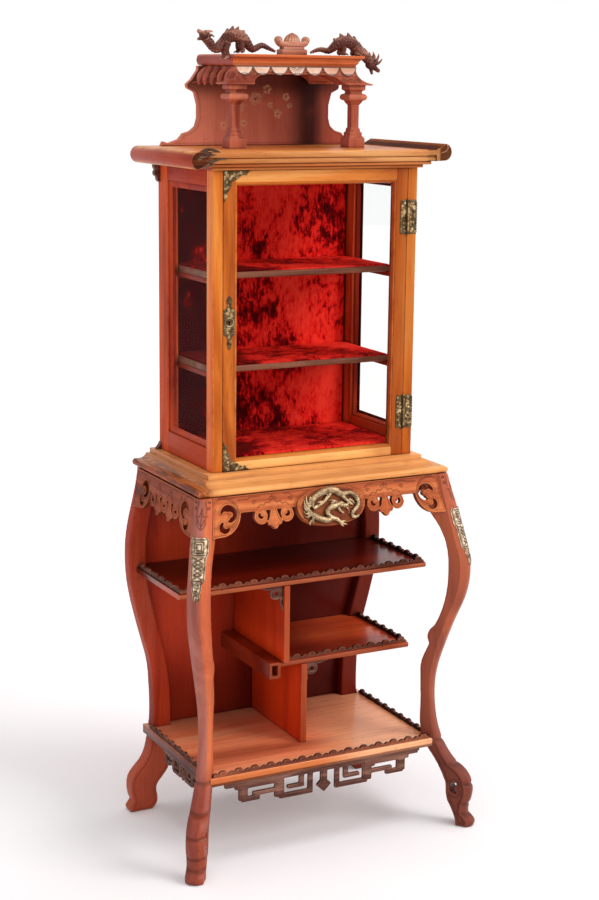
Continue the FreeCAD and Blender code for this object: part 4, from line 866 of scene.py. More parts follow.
def pendantLimbs(board, middle):
    # ribs on the hanging leaf, a bud at its foot, and a curled eye in each ring
    limbs = []
    for path, radii in (([(0, -24), (0, -40), (0, -60), (0, -70)], [2.4, 2.6, 2.2, 1.4]),
                        ([(-3, -26), (-6, -42), (-11, -56), (-17, -62)], [1.8, 2.3, 2.6, 1.8]),
                        ([(3, -26), (6, -42), (11, -56), (17, -62)], [1.8, 2.3, 2.6, 1.8])):
        limbs.append(tube([board.spot(middle + u, v, -1.0) for u, v in path], radii))
    limbs.append(ball(board.spot(middle, -72, -4), (6.5, 6.5, 5.0)))
    for side in (-1, 1):
        limbs.append(ball(board.spot(middle + side * 12, -64, -4), (5.0, 5.0, 4.6)))
        limbs.append(ball(board.spot(middle + side * 27.5, -44, -4), (4.6, 5.4, 4.6)))
        path = [(side * 17, -52), (side * 20, -60), (side * 30, -63), (side * 41, -58), (side * 46, -48)]
        limbs.append(tube([board.spot(middle + u, v, -2.5) for u, v in path], [1.6, 2.6, 3.0, 2.6, 1.6]))
    return limbs


def apronPiece(node, board, spec, lines, grain):
    extra = [limb for middle in spec["pendants"] for limb in pendantLimbs(board, middle)]
    for side in (-1, 1):
        # the hooked core of the end scroll stands a little proud
        extra.append(ball(board.spot(side * (spec["end"] - 48), -37, -5), (8, 8, 7)))
        extra.append(ball(board.spot(side * (spec["end"] - 41), -58, -5), (7, 7, 7)))
    piece = softened(node, spec["voxel"], 3, extra)
    spots, turns = readPoints(piece)
    away = (spots - np.array(board.face)) / mm
    # the walls of the piercings are painted dark: painted shade
    stainAndShade = (np.abs(turns @ np.array(board.out)) < 0.5) * spec["walls"]
    if "cartouche" in spec:
        # the oval field behind the brass dragon is darker, and its rim has painted shade
        oval = np.hypot(away @ np.array(board.right) / 82, (away @ np.array(board.up) + 45) / 46)
        field = np.where(oval < 0.9, spec["cartouche"], np.clip(1.5 - np.abs(oval - 1) / 0.10, 0, 1) * 0.30)
        stainAndShade = np.maximum(field, stainAndShade)
    writePoints(piece, spots, stainAndShade)
    carveRims(piece, [board.out, -board.out], 3.2, 0.9, 1.0, stainAndShade=0.5, crown=0.5)
    carveLines(piece, (board.out, board.face, board.right, board.up), lines, 0.9, 0.8)
    place(piece, node, woodFinish("apron", grain))


hatch = [[(x, z), (x + 9, z + 9)] for x in range(-66, 64, 8) for z in range(-76, -16, 14)
         if math.hypot((x + 4) / 74, (z + 49) / 40) < 1]
scrollLines = [
    arc(246, -34, 30, 62, 262, 20), arc(246, -34, 33.5, 75, 245, 18),
    [(212, -10), (190, -10), (184, -6), (160, -6)],
    [(96, -30), (104, -24), (112, -26), (116, -20), (124, -22), (133, -13), (142, -22), (150, -20),
        (154, -26), (162, -24), (170, -30)], arc(133, -18, 9, 20, 160, 8), [(133, -13), (133, -6)],
    [(86, -12), (94, -6), (106, -6)], spiral(92, -18, 5, 0, 1.1), spiral(176, -18, 5, 180, -1.1)]
frontBoard = Board(frontApron["face"], (1, 0, 0), frontApron["lean"])
apronPiece("front_apron", frontBoard, frontApron, mirrored(scrollLines) + hatch, "x")
sideLines = [
    arc(123, -34, 30, 62, 262, 20), spiral(84, -14, 6, 200, 1.2), arc(30, -18, 9, 20, 160, 8),
    [(14, -28), (22, -22), (30, -13), (38, -22), (46, -28)]]
for side, node in ((-1, "left_side_apron"), (1, "right_side_apron")):
    x, y, z = sideApron["face"]
    board = Board((side * x, y, z), (0, side, 0), sideApron["lean"])
    apronPiece(node, board, sideApron, mirrored(sideLines), "y")
print("aprons carved")

frets = {"front_lower_fret": 1.1, "side_lower_frets": 1.1, "upper_divider_bracket": 1.1,
         "lower_divider_bracket": 1.1, "back_corner_brackets": 0.2}  # how much stouter than the solid, in mm
for node, stouter in frets.items():
    facing = Vector((1, 0, 0) if node == "side_lower_frets" else (0, -1, 0))
    piece = softened(node, 1.2, 3)
    spots, turns = readPoints(piece)
    writePoints(piece, spots + turns * (stouter * mm))
    relax(piece, 3)
    carveRims(piece, [facing, -facing], 2.4, 0.9, 0.9, stainAndShade=0.7, crown=0.4)
    place(piece, node, woodFinish("fret", "x"))

gallery = {"pitch": 37.0, "strip": 9, "foot": 4.6, "low": 0.6, "rise": 7.2, "bins": 30}


def hump(phase, middle, half):
    return np.clip(1 - np.abs((phase - middle) / half) ** 2.4, 0, 1) ** 0.6


for node in ("bottom_shelf_gallery", "middle_shelf_gallery", "upper_shelf_gallery"):
    piece = softened(node, 1.1, 2)
    spots, _ = readPoints(piece)
    foot = spots[:, 2].min() / mm
    frontStrip = spots[:, 1] < spots[:, 1].min() + gallery["strip"] * mm
    for axis, zone in ((0, frontStrip), (1, ~frontStrip)):
        spots, _ = readPoints(piece)
        along = spots[zone, axis] / mm
        start, end = along.min(), along.max()
        count = max(1, round((end - start) / gallery["pitch"]))
        step = (end - start) / count
        lines = []
        for crest in (start + (index + 0.62) * step for index in range(count)):
            lines += [spiral(crest - 0.5, foot + 7.0, 4.4, 100, -1.4),
                      spiral(crest - 0.44 * step, foot + 5, 2.4, 60, 1.1),
                      [(crest - 0.58 * step, foot + 2.6), (crest - 0.3 * step, foot + 3.6),
                       (crest - 6, foot + 6)],
                      [(crest + 4, foot + 3), (crest + 0.34 * step, foot + 2.4)]]
        # each wave becomes a rounded curl with a small one behind it
        phase = ((along - start) / step) % 1.0
        slope = np.maximum(hump(phase, 0.60, 0.27), 0.5 * hump(phase, 0.16, 0.15))
        above = spots[zone, 2] / mm - foot - gallery["foot"]
        bins = np.minimum((phase * gallery["bins"]).astype(int), gallery["bins"] - 1)
        tops = np.array([max(0.8, above[bins == b].max(initial=0.8)) for b in range(gallery["bins"])])
        height = foot + gallery["foot"] + above / tops[bins] * (gallery["low"] + gallery["rise"] * slope)
        spots[zone, 2] = np.where(above > 0, height, spots[zone, 2] / mm) * mm
        writePoints(piece, spots)
        right = Vector((1, 0, 0) if axis == 0 else (0, 1, 0))
        facing = Vector((right.y, right.x, 0))
        for side in (-1, 1):
            carveLines(piece, (facing * side, (0, 0, 0), right, (0, 0, 1)), lines, 0.8, 0.7, 0.7)
    place(piece, node, woodFinish("ripple", "x"))
print("frets and galleries carved")

legs = {"anchor": (0.278, -0.12171), "turn": 53, "voxel": 2.2, "rounds": 8, "foot": (0.15, 0.20)}


def legRound(away):
    # how far the outer face stands out at a place across it, in mm
    reach = np.abs(away)
    return np.where(reach < 9, 3 * (1 - (reach / 14) ** 2), 1.76 - (reach - 9) * 0.95)


def legFace(side):
    # a front leg's outer face: the way out, its place on the floor, and the ways across and up
    angle = math.radians(-legs["turn"] if side > 0 else legs["turn"] - 180)
    x, y = legs["anchor"]
    return (np.array([math.cos(angle), math.sin(angle), 0]), np.array([side * x, y, 0]),
            np.array([-math.sin(angle), math.cos(angle), 0]), (0, 0, 1))


def onFoot(spots):
    return 1 - smoothBetween(spots[:, 2], *legs["foot"])


for side, node in ((-1, "front_left_leg"), (1, "front_right_leg")):
    face = outward, anchor, across, _ = legFace(side)
    piece = softened(node, legs["voxel"], legs["rounds"])
    # the outer face is rounded and its corners are taken off
    spots, turns = readPoints(piece)
    away = (spots - anchor) @ across / mm
    out = (spots - anchor) @ outward / mm
    steps = (spots[:, 2] / (3 * mm)).astype(int)
    brow = np.full(steps.max() + 1, -1e9)
    np.maximum.at(brow, steps[np.abs(away) < 7], out[np.abs(away) < 7])
    known = np.where(brow > -1e8)[0]
    brow = np.interp(spots[:, 2] / (3 * mm) - 0.5, known, brow[known])
    swell = np.clip(3 - np.abs(out - brow), 0, 1) * (turns @ outward > 0.3)
    fresh = np.minimum(out + 3.0 * swell, brow + legRound(away))
    writePoints(piece, spots + outward * ((fresh - out) * mm)[:, None])
    relax(piece, 3)
    carveRims(piece, [across, -across], 6.5, 1.7, 1.8, stainAndShade=0.6, weight=onFoot, crown=0.6)
    leaf = [[(0, 784), (0, 745)]]
    for sign in (-1, 1):
        leaf += [[(sign * x, z) for x, z in path] for path in (
            [(0, 745), (5, 748), (9, 755), (8, 763), (11, 772)], [(11, 772), (5, 769), (2, 776), (0, 786)],
            [(0, 751), (4, 756), (6, 764)], [(9, 808), (7, 796), (10, 784), (9, 776)])]
        leaf += [spiral(sign * 14, z, 3.2, 90, sign * 1.3) for z in (797, 785)]
    carveLines(piece, face, leaf, 1.1, 1.0, least=0.4)
    ridges = [[(-18, z), (0, z - 3), (18, z)] for z in (193, 140, 100, 53, 28)]
    carveLines(piece, face, ridges, 4.2, 3.4, 0.55, least=0.1)
    relax(piece, 2)
    place(piece, node, woodFinish("leg" if side < 0 else "rightLeg", "z"))
for node in ("back_left_leg", "back_right_leg"):
    piece = softened(node, legs["voxel"], 5)
    carveRims(piece, [(0, -1, 0)], 6.5, 1.7, 1.2, stainAndShade=0.4, weight=onFoot, crown=0.5)
    place(piece, node, woodFinish("hind", "z"))
print("legs carved")

roofRoll = {"foot": 1664, "tall": 24, "bins": 20, "start": 122, "least": 126, "reach": 141, "bulge": 9}
piece = softened("roof_board", 1.3, 2)
spots, _ = readPoints(piece)
# its left end is a round roll, where the front has a hollow moulding
start = roofRoll["start"]
height = np.clip((spots[:, 2] / mm - roofRoll["foot"]) / roofRoll["tall"], 0, 1)
bins = (height * roofRoll["bins"]).astype(int)
left = -spots[:, 0] / mm
edges = np.array([left[bins == b].max(initial=roofRoll["least"]) for b in range(roofRoll["bins"] + 1)])
roll = roofRoll["reach"] + roofRoll["bulge"] * np.sqrt(np.clip(1 - (2 * height - 1) ** 2, 0, 1))
pull = start + (left - start) * (roll - start) / np.maximum(edges[bins] - start, 4)
spots[:, 0] = np.where(left > start, -pull * mm, spots[:, 0])
writePoints(piece, spots)
relax(piece, 3)
carveLines(piece, frontFace, [[(-160, z), (160, z)] for z in (1681, 1667)], 0.8, 0.5, 0.7, least=0.3)
place(piece, "roof_board", woodFinish("cove", "xy"))

pleats = []
for y in (30, 66, 102, 138, 168):
    path = [(-140, y, 1660), (-149, y, 1648), (-160, y - 4, 1636), (-166, y - 12, 1625)]
    pleats.append(tube([Vector(spot) * mm for spot in path], [6, 11, 10, 1.5]))
piece = softened("roof_frieze", 1.4, 2, pleats)
carveRims(piece, [(0, -1, 0), (1, 0, 0)], 4.0, 1.0, 1.0, stainAndShade=0.6)
curls = foliage(-160, 160, 1630, 1652, 46, 5, (4, 8), 1.3)
carveLines(piece, frontFace, curls, 1.0, 1.1, 0.7, least=0.5)
place(piece, "roof_frieze", woodFinish("shrine", "x"))
piece = softened("frieze_scallops", 0.7, 1)
carveRims(piece, [(0, -0.97, 0.26), (0, -0.97, -0.26)], 0.6, 1.1, 0.1, stainAndShade=1.0)
rays = [[(4 * math.cos(a), 1663 + 4 * math.sin(a)), (15 * math.cos(a), 1663 + 13 * math.sin(a))]
        for a in [math.radians(192 + 19.5 * i) for i in range(9)]]
carveLines(piece, frontFace, rays, 0.42, 0.25)
place(piece, "frieze_scallops", tileFinish())

finial = {"depth": 51.8, "voxel": 1.0}


def finialSpot(along, up, deep=0.0):
    return Vector((along, finial["depth"] + deep, up)) * mm


def block(low, high):
    rest()
    bpy.ops.mesh.primitive_cube_add(size=1)
    made = bpy.context.object
    size = [(b - a) * mm for a, b in zip(low, high)]
    middle = [(a + b) / 2 * mm for a, b in zip(low, high)]
    made.data.transform(Matrix.Translation(middle) @ Matrix.Diagonal((*size, 1.0)))
    return made


scroll = [(-34, 1720), (-31, 1712), (-20, 1708), (0, 1707), (20, 1708), (31, 1712), (34, 1720)]
parts = [block((-29, 38, 1688), (29, 65, 1699)), block((-24, 41, 1698), (24, 62, 1706))]
for deep in (-6, 0, 6):
    parts.append(tube([finialSpot(x, z, deep) for x, z in scroll], [4.6, 6, 6.4, 6.6, 6.4, 6, 4.6]))
for side in (-1, 1):
    parts.append(ball(finialSpot(side * 32, 1718), (8.5, 11, 8)))
parts += [ball(finialSpot(0, 1713), (19, 12, 19)), ball(finialSpot(0, 1730), (5, 5, 3))]
piece = skin(joinUp(parts, "finialCarved"), finial["voxel"], 2)
petals = [
    [(0, 1733), (0, 1716)], arc(0, 1713, 19.5, 20, 160), [(-27, 1699), (27, 1699)],
    [(-24, 1705), (24, 1705)]]
for side in (-1, 1):
    petals += [[(side * 3, 1731), (side * 7, 1716)], [(side * 8, 1729), (side * 14, 1716)],
               spiral(side * 32, 1718, 5.5, 90 + side * 90, -side * 1.3)]
carveLines(piece, frontFace, petals, 0.9, 0.8, 0.8, least=0.4)
place(piece, "roof_finial", woodFinish("tan", "x"))

piece = softened("shrine_back_board", 1.5, 2)
carveRims(piece, [(0, -1, 0)], 5.0, 0.9, 0.7, stainAndShade=0.5)
spots, turns = readPoints(piece)
flat = spots[:, [0, 2]] / mm
twigs = [[(-104, 1530), (-84, 1562), (-52, 1580), (-20, 1590), (4, 1612)],
         [(-52, 1580), (-58, 1600), (-70, 1612)], [(-20, 1590), (14, 1580), (30, 1566)],
         [(-84, 1562), (-66, 1556), (-52, 1546)]]
blossoms = [(-22, 1596, 14.5), (-60, 1578, 11.6), (6, 1616, 10.15), (-72, 1614, 8.7), (32, 1564, 10.15),
            (-50, 1544, 8.7), (-98, 1540, 8.7), (14, 1582, 7.25), (52, 1600, 8.7), (60, 1582, 5.8)]
paint = np.exp(-(lineGap(flat, twigs) / 1.1) ** 2) * 0.7
heart = np.zeros(len(flat))
for x, z, size in blossoms:
    for petal in range(5):
        a = 2 * math.pi * petal / 5 + size
        gap = np.hypot(flat[:, 0] - x - 0.62 * size * math.cos(a), flat[:, 1] - z - 0.62 * size * math.sin(a))
        paint = np.maximum(paint, 1 - smoothBetween(gap, 0.36 * size, 0.50 * size))
    middle = np.hypot(flat[:, 0] - x, flat[:, 1] - z)
    heart = np.maximum(heart, 1 - smoothBetween(middle, 0.14 * size, 0.26 * size))
front = turns[:, 1] < -0.5
layer = piece.data.attributes.new("painted", "FLOAT", "POINT")
layer.data.foreach_set("value", (paint * front).astype(np.float32))
writePoints(piece, spots + turns * (0.25 * paint * front * mm)[:, None],
            np.maximum(readCut(piece), heart * front * 0.6))
place(piece, "shrine_back_board", woodFinish("board", "z"))
print("shrine carved")


# Brass dragon on the apron

castDragon = {
    "middle": -45, "proud": 5, "voxel": 0.8,
    "arc": [(-58, 2), (-54, 10), (-46, 18), (-31, 28), (-16, 34), (0, 37), (14, 31), (24, 24), (33, 25),
        (46, 26), (58, 17), (64, 4), (58, -7), (47, -14), (42, -22), (50, -28), (60, -24)],
    "arcRadii": [4, 5.5, 6.5, 7.5, 8, 8.5, 8.5, 7.5, 5.5, 5.2, 5.2, 5, 4.6, 4.4, 4.2, 3.6, 2.4],
    "neck": [(-58, 2), (-56, -6), (-47, -13), (-31, -23), (-16, -27), (-6, -23), (-15, -15), (-14, -6),
        (-4, 0), (8, 2), (17, 3)], "neckRadii": [4, 5.5, 6.5, 7, 7, 6.5, 5.5, 6, 6.5, 6.5, 6]}


def dragonSpot(right, up, out=0.0):
    return frontBoard.spot(right, castDragon["middle"] + up, castDragon["proud"] + out)


arcPath = [dragonSpot(x, y, 3.0 if i > 3 else 1.0) for i, (x, y) in enumerate(castDragon["arc"])]
neckPath = [dragonSpot(x, y, 2.0 if i < 6 else 5.0) for i, (x, y) in enumerate(castDragon["neck"])]
limbs = [tube(arcPath, castDragon["arcRadii"]), tube(neckPath, castDragon["neckRadii"])]
thin = [
    ([(-2, 28), (-18, 12), (-34, 4), (-40, 0)], [5, 4.5, 3, 1.2]),
    ([(-18, 12), (-28, 14), (-36, 11)], [3, 2.4, 1]), ([(24, 22), (38, 7), (45, 1), (50, 0)], [5, 4, 3, 1]),
    ([(40, 12), (48, 10), (54, 0)], [3.4, 2.6, 1]), ([(38, 7), (34, 0), (38, -4)], [3, 2, 1]),
    ([(-6, -23), (4, -24), (13, -34), (20, -34)], [6, 5, 3.6, 2.4]),
    ([(13, -34), (24, -31), (27, -34)], [3, 2.2, 0.9]), ([(13, -34), (22, -40), (29, -40)], [3, 2.2, 0.9]),
    ([(13, -34), (16, -42), (21, -44)], [3, 2.2, 0.9]), ([(15, 8), (4, 14), (-8, 14)], [2.6, 2, 0.8]),
    ([(12, 8), (2, 10), (-6, 8)], [2.4, 1.8, 0.7]), ([(30, -2), (40, -10), (36, -18)], [1.8, 1.4, 0.7]),
    ([(-47, -16), (-54, -26), (-48, -30)], [4, 3, 1.2]),
    ([(-54, -24), (-60, -28), (-58, -34)], [3, 2, 0.8]), ([(12, -4), (17, -11), (24, -16)], [4, 3.4, 2])]
flames = [
    ((-56, 2), (-62, 16), (-57, 30)), ((-52, 4), (-54, 18), (-48, 27)), ((-58, 0), (-66, 8), (-64, 20)),
    ((-57, -4), (-67, -2), (-66, 10)), ((-56, -8), (-66, -12), (-68, -2)), ((-46, 2), (-46, 12), (-38, 18)),
    ((-54, -12), (-64, -20), (-67, -12)), ((-44, -2), (-40, 6), (-32, 8))]
for path, radii in thin:
    limbs.append(tube([dragonSpot(x, y, 3.5) for x, y in path], radii, 2))
for path in flames:
    limbs.append(tube([dragonSpot(x, y, 2.5) for x, y in path], [3.4, 2.6, 0.7], 2))
limbs += [ball(dragonSpot(19, 3, 6), (8.5, 6.0, 7.0)), ball(dragonSpot(28, 0, 6), (7.0, 4.2, 4.6)),
          ball(dragonSpot(33, 0, 7), (3.0, 2.6, 3.0)), ball(dragonSpot(20, 7.5, 8), (3.0, 2.2, 2.6)),
          ball(dragonSpot(24, 5.0, 9), (2.0, 2.0, 2.0))]
piece = skin(joinUp(limbs, "castDragon"), castDragon["voxel"], 2)
scaleSkin(piece, [arcPath, neckPath], frontBoard.up, 5.5, 0.9)
place(piece, "apron_dragon_mount", brassFinish("cast"))
print("brass dragon cast")


# Brass mounts on the knees

kneeMount = {
    "voxel": 0.75,
    "shape": [(605, 0.12), (611, 0.5), (620, 0.46), (630, 0.72), (640, 0.66), (645, 0.98), (690, 1.04),
        (696, 1.22), (723, 1.22), (730, 0.98)]}  # heights, and widths beside the solid's
heights, widths = zip(*kneeMount["shape"])
kneeLines = [[(sign * (15 * w - 2.2), h) for h, w in kneeMount["shape"]] for sign in (-1, 1)]
kneeLines += [
    [(-9, 700), (9, 700), (9, 722), (-9, 722), (-9, 700)],
    [(-5, 705), (5, 705), (5, 717), (-5, 717), (-5, 709)], [(-12, 696), (12, 696)], [(-12, 726), (12, 726)],
    [(-8, 646), (8, 646)], [(0, 612), (0, 606)], spiral(0, 636, 6, 90, 1.4), spiral(-2, 624, 4, 0, 1.2),
    spiral(2, 617, 4, 180, -1.2)]
kneeLines += [[(sign * (8 if i % 2 else -8), 690 - 8 * i) for i in range(6)] for sign in (-1, 1)]
curls = foliage(-14, 14, 694, 728, 14, 21, (2.0, 3.6)) + foliage(-11, 11, 606, 690, 26, 22, (2.0, 3.6))
piece = softened("leg_mounts", kneeMount["voxel"], 1)
for side in (-1, 1):
    face = outward, anchor, across, _ = legFace(side)
    spots, _ = readPoints(piece)
    mine = spots[:, 0] * side > 0
    away = (spots - anchor) @ across / mm
    shift = away * (np.interp(spots[:, 2] / mm, heights, widths) - 1) * mine
    swell = (legRound(away + shift) + 0.6) * mine
    writePoints(piece, spots + across * (shift * mm)[:, None] + outward * (swell * mm)[:, None])
    carveLines(piece, face, kneeLines, 1.35, 1.5, least=0.3, near=mine)
    carveLines(piece, face, curls, 0.8, 0.7, 0.85, least=0.3, near=mine)
place(piece, "leg_mounts", brassFinish("knee"))
print("knee mounts cast")


# Dragons on the roof

roofDragons = {
    "left_dragon": {
        "side": -1,
        "path": [(0, 6), (14, 12), (30, 20), (44, 12), (56, 9), (66, 20), (78, 33), (94, 38), (108, 33),
            (119, 20), (130, 9), (143, 11), (152, 21), (160, 30)],
        "radii": [2.6, 4.6, 6, 6.4, 7.4, 10, 13, 13.5, 12.5, 11, 9.5, 9, 9, 9.5],
        "legs": [[(80, 26), (84, 13), (76, 6), (84, 5)], [(112, 22), (118, 8), (112, -2), (116, -8)]],
        "head": (163, 35), "snout": [(163, 36), (168, 40), (174, 44)],
        "jaw": [(164, 30), (172, 30), (177, 27)],
        "horns": [[(160, 42), (152, 46), (146, 42)], [(156, 36), (148, 38), (143, 32)],
            [(154, 28), (147, 28), (143, 22)]],
        "spines": (0.46, 0.74)},
    "right_dragon": {
        "side": 1,
        "path": [(0, 5), (18, 12), (32, 12), (43, 8), (54, 17), (66, 27), (84, 30), (100, 26), (113, 17),
            (125, 6), (136, -4), (146, -14)],
        "radii": [2.6, 4.6, 5.6, 6.4, 9, 12, 13, 12.5, 11.5, 10.5, 10, 10],
        "legs": [[(72, 24), (78, 12), (70, 5), (78, 4)], [(104, 18), (110, 10), (102, 4), (110, 3)]],
        "head": (149, -18), "snout": [(150, -19), (157, -25), (165, -30)],
        "jaw": [(146, -22), (148, -31), (150, -38)],
        "horns": [[(156, -10), (162, -2), (160, 6)], [(148, -6), (150, 4), (146, 10)],
            [(158, -16), (167, -12), (169, -4)]],
        "spines": (0.40, 0.86)}}


def roofSpot(along, up, deep=0.0):
    # a spot on the dragon that the loop below is at, in mm along it, up and to its side
    return Vector((spec["side"] * (41 + along), 46.8 + deep, 1688 + up)) * mm


for node, spec in roofDragons.items():
    bodyPath = [roofSpot(x, z, 4 * math.sin(i * 0.9)) for i, (x, z) in enumerate(spec["path"])]
    limbs = [tube(bodyPath, spec["radii"], 4)]
    for leg in spec["legs"]:
        for deep in (-9, 9):
            path = [roofSpot(x, z, deep * (0.7 + 0.2 * i)) for i, (x, z) in enumerate(leg)]
            limbs.append(tube(path, [8.0, 6.0, 4.2, 3.6], 3))
            for spread in (-3.2, 0, 3.2):
                end = roofSpot(leg[-1][0] + 6, leg[-1][1] - 3, deep * 1.3 + spread)
                knuckle = (path[-1] + end) / 2 + Vector((0, 0, 1.6 * mm))
                limbs.append(tube([path[-1], knuckle, end], [2.2, 1.8, 0.8], 2))
    headX, headZ = spec["head"]
    limbs += [ball(roofSpot(headX, headZ), (10.0, 8.0, 9.0)), ball(roofSpot(headX - 6, headZ), (9, 8, 9))]
    limbs.append(tube([roofSpot(*p) for p in spec["snout"]], [7.0, 5.6, 4.4], 3))
    limbs.append(ball(roofSpot(*spec["snout"][-1]), (4.2, 5.0, 4.2)))
    limbs.append(tube([roofSpot(*p) for p in spec["jaw"]], [5.4, 4.0, 2.6], 3))
    for deep in (-5.5, 5.5):
        for horn in spec["horns"]:
            path = [roofSpot(x, z, deep * (1 + 0.35 * i)) for i, (x, z) in enumerate(horn)]
            limbs.append(tube(path, [3.6, 2.8, 1.0], 2))
        along, up = spec["snout"][0]
        limbs.append(ball(roofSpot(along + 4, up + 5.5, deep), (2.8, 2.6, 2.8)))
    limbs += spines(bodyPath, 8.0, 11.0, *spec["spines"], 6)
    piece = skin(joinUp(limbs, node + ".figure"), 1.0, 2)
    scaleSkin(piece, [bodyPath], (0, 1, 0), 6.5, 1.3, 16.0)
    place(piece, node, woodFinish("dark", "x"))
print("roof dragons carved")


# Brass plates on the door

broad, small = (2.2, 3.4), (1.6, 2.6)
plates = {
    "door_corner_mounts": {
        "curls": [foliage(-214, -170, 842, 860, 16, 3, broad), foliage(-213, -204, 860, 900, 9, 4, broad),
                  foliage(-214, -170, 1438, 1456, 16, 6, broad),
                  foliage(-213, -204, 1400, 1438, 9, 7, broad)],
        "screws": [(-209, 846), (-209, 1452), (-172, 845), (-172, 1453), (-210, 882), (-210, 1416)],
        "beads": [(x - 215, middle + sign * z) for sign, middle in ((1, 840), (-1, 1458)) for x, z in (
            (50, 7), (44, 7), (38, 9), (33, 13), (28, 16), (22, 18), (17, 22), (15, 28), (13, 34), (10, 39),
            (7, 46), (6, 52))]},
    "escutcheon": {
        "curls": [foliage(-210, -193, 1106, 1140, 9, 8, broad), foliage(-210, -193, 1162, 1196, 9, 9, broad),
                  [arc(-201.5, 1152, 9, 0, 360, 24)]],
        "screws": [(-201.5, 1101), (-201.5, 1199)],
        "beads": [(-201.5 + side * 10.5, 1152 + 6 * i) for i in range(-4, 5) for side in (-1, 1)]}}
barrel = [[(x, foot), (x, foot + 58)] for foot in (906, 1326) for x in (214.2, 215.4, 216.6)]
for node, left, right, count, seed, screw, edge in (("hinge_door_leaves", 201, 210, 18, 12, 208, 200.2),
                                                    ("hinge_case_leaves", 221, 235, 24, 14, 229, 236.4)):
    plates[node] = {"curls": [foliage(left, right, 903, 967, count, seed, small),
                              foliage(left, right, 1323, 1387, count, seed + 1, small), barrel],
                    "screws": [(screw, z) for z in (907, 935, 963, 1327, 1355, 1383)],
                    "beads": [(edge, z) for foot in (904, 1324) for z in range(foot, foot + 64, 6)]}
for node, spec in plates.items():
    heads = [ball(Vector((x, -74.6, z)) * mm, (1.9, 0.9, 1.9)) for x, z in spec["screws"]]
    heads += [ball(Vector((x, -74.0, z)) * mm, (3.0, 0.9, 3.0)) for x, z in spec["beads"]]
    piece = softened(node, 0.55, 1, heads)
    spots, turns = readPoints(piece)
    face = turns[:, 1] < -0.5
    lines = sum(spec["curls"], []) + [[spot, spot] for spot in spec["beads"]]
    ridge = np.exp(-(lineGap(spots[:, [0, 2]] / mm, lines) / 0.7) ** 2)
    spots[:, 1] -= 0.5 * ridge * face * mm
    writePoints(piece, spots, np.where(face, 0.95 * (1 - ridge), 0.5))
    place(piece, node, brassFinish("plate"))
print("door brass engraved")


# Carved leaf where the slab's left roll meets its front, and a thin bead on its right one

leafCurl = [
    ([(-286, 1480), (-276, 1490), (-262, 1493), (-248, 1489), (-236, 1490)], [3.4, 5, 4.6, 3.2, 1.2]),
    ([(-284, 1494), (-272, 1501), (-258, 1502), (-244, 1498), (-230, 1493)], [2.6, 3.6, 3.2, 2.4, 1]),
    ([(-276, 1480), (-262, 1476), (-248, 1480), (-236, 1483), (-224, 1482)], [2.6, 3.6, 3, 2, 1]),
    ([(-288, 1470), (-276, 1468), (-262, 1470), (-250, 1473)], [2, 3, 2.6, 1.2])]
parts = [tube([Vector((x, -106.4, z)) * mm for x, z in path], radii) for path, radii in leafCurl]
piece = skin(joinUp(parts, "slabLeaf"), 0.9, 2)
notches = ((-272, 1490), (-260, 1492), (-250, 1489), (-262, 1501), (-250, 1499), (-262, 1477))
veins = [path for path, _ in leafCurl] + [[(x - 6, z + 6), (x, z), (x - 6, z - 6)] for x, z in notches]
carveLines(piece, frontFace, veins, 0.9, 1.2, 0.9, least=0.2)
place(piece, "top_slab", woodFinish("ebony", "x"))
beadPath = [(287, 1508), (290, 1504), (290, 1498), (284, 1492), (274, 1490)]
piece = tube([Vector((x, -108.4, z)) * mm for x, z in beadPath], [0.5, 0.9, 0.9, 0.9, 0.5], 3, 8)
piece.name = "slabRollBead"
place(piece, "top_slab", woodFinish("tan", "x"))


# Velvet linings

lining = {"step": 4.0, "pucker": 0.45, "seed": 11, "waves": 14, "border": 12, "round": 1.8, "fill": 0.9}


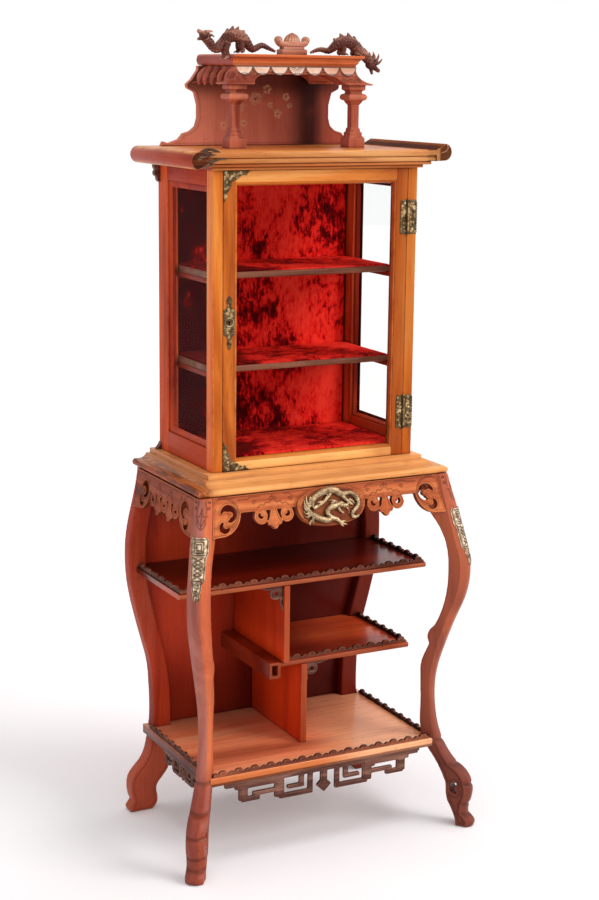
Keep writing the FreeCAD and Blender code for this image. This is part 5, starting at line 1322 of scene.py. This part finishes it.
def velvetPiece(name, low, high, thickness, face):
    # a lining between two corners in mm: a fine grid, puckered, with its back and edges turned
    rest()
    (x0, y0, z0), (x1, y1, z1) = low, high
    long, tall = x1 - x0, z1 - z0 if face == "y" else y1 - y0
    cuts = (max(2, int(long / lining["step"])), max(2, int(tall / lining["step"])))
    bpy.ops.mesh.primitive_grid_add(x_subdivisions=cuts[0], y_subdivisions=cuts[1], size=1)
    piece = bpy.context.object
    piece.name = name
    spots, _ = readPoints(piece)
    flat = spots[:, :2] * np.array([long, tall])
    edge = np.minimum(long / 2 - np.abs(flat[:, 0]), tall / 2 - np.abs(flat[:, 1]))
    draw = random.Random(lining["seed"])
    pucker = np.zeros(len(flat))
    for _ in range(lining["waves"]):
        turn, size, start = draw.uniform(0, math.pi), draw.uniform(18, 70), draw.uniform(0, 6)
        along = flat[:, 0] * math.cos(turn) + flat[:, 1] * math.sin(turn)
        pucker += np.sin(along * 2 * math.pi / size + start)
    pucker = lining["pucker"] * pucker / 4 * np.clip(edge / lining["border"], 0, 1)
    drop = thickness * 0.6 * np.exp(-(edge / lining["round"]) ** 2)
    depth = pucker - drop - lining["pucker"] * 1.2
    across = (x0 + x1) / 2 + flat[:, 0]
    if face == "y":
        spots = np.stack([across, y0 - depth, (z0 + z1) / 2 + flat[:, 1]], axis=1)
    else:
        spots = np.stack([across, (y0 + y1) / 2 + flat[:, 1], z1 + depth], axis=1)
    writePoints(piece, spots * mm)
    settle(piece, "SOLIDIFY", thickness=thickness * 0.5 * mm, offset=-1.0)
    take(piece)
    bpy.ops.object.shade_smooth()
    return piece


backLining = velvetPiece("backLining", (-212, 187.3, 861.3), (212, 194.3, 1440.7), 7.0, "y")
floorLining = velvetPiece("floorLining", (-214, -50.7, 861), (214, 187, 868), 7.0, "z")
for piece, node in ((backLining, "back_velvet"), (floorLining, "floor_velvet")):
    place(piece, node, velvetFinish())
for name, low in (("lowerShelfVelvet", 1051), ("upperShelfVelvet", 1247)):
    piece = velvetPiece(name, (-212, -11.7, low), (212, 187, low + 3), 3.0, "z")
    place(piece, "shelf_velvets", velvetFinish())
print("velvet laid")


# The nodes that stay as they are

finishOf = {"brass": brassFinish("plate"), "glass": glassFinish()}
for node, piece in nodes.items():
    if not piece.hide_render:
        dress(piece, finishOf[slotOf[node]])
print("glass and lock dressed")

rest()
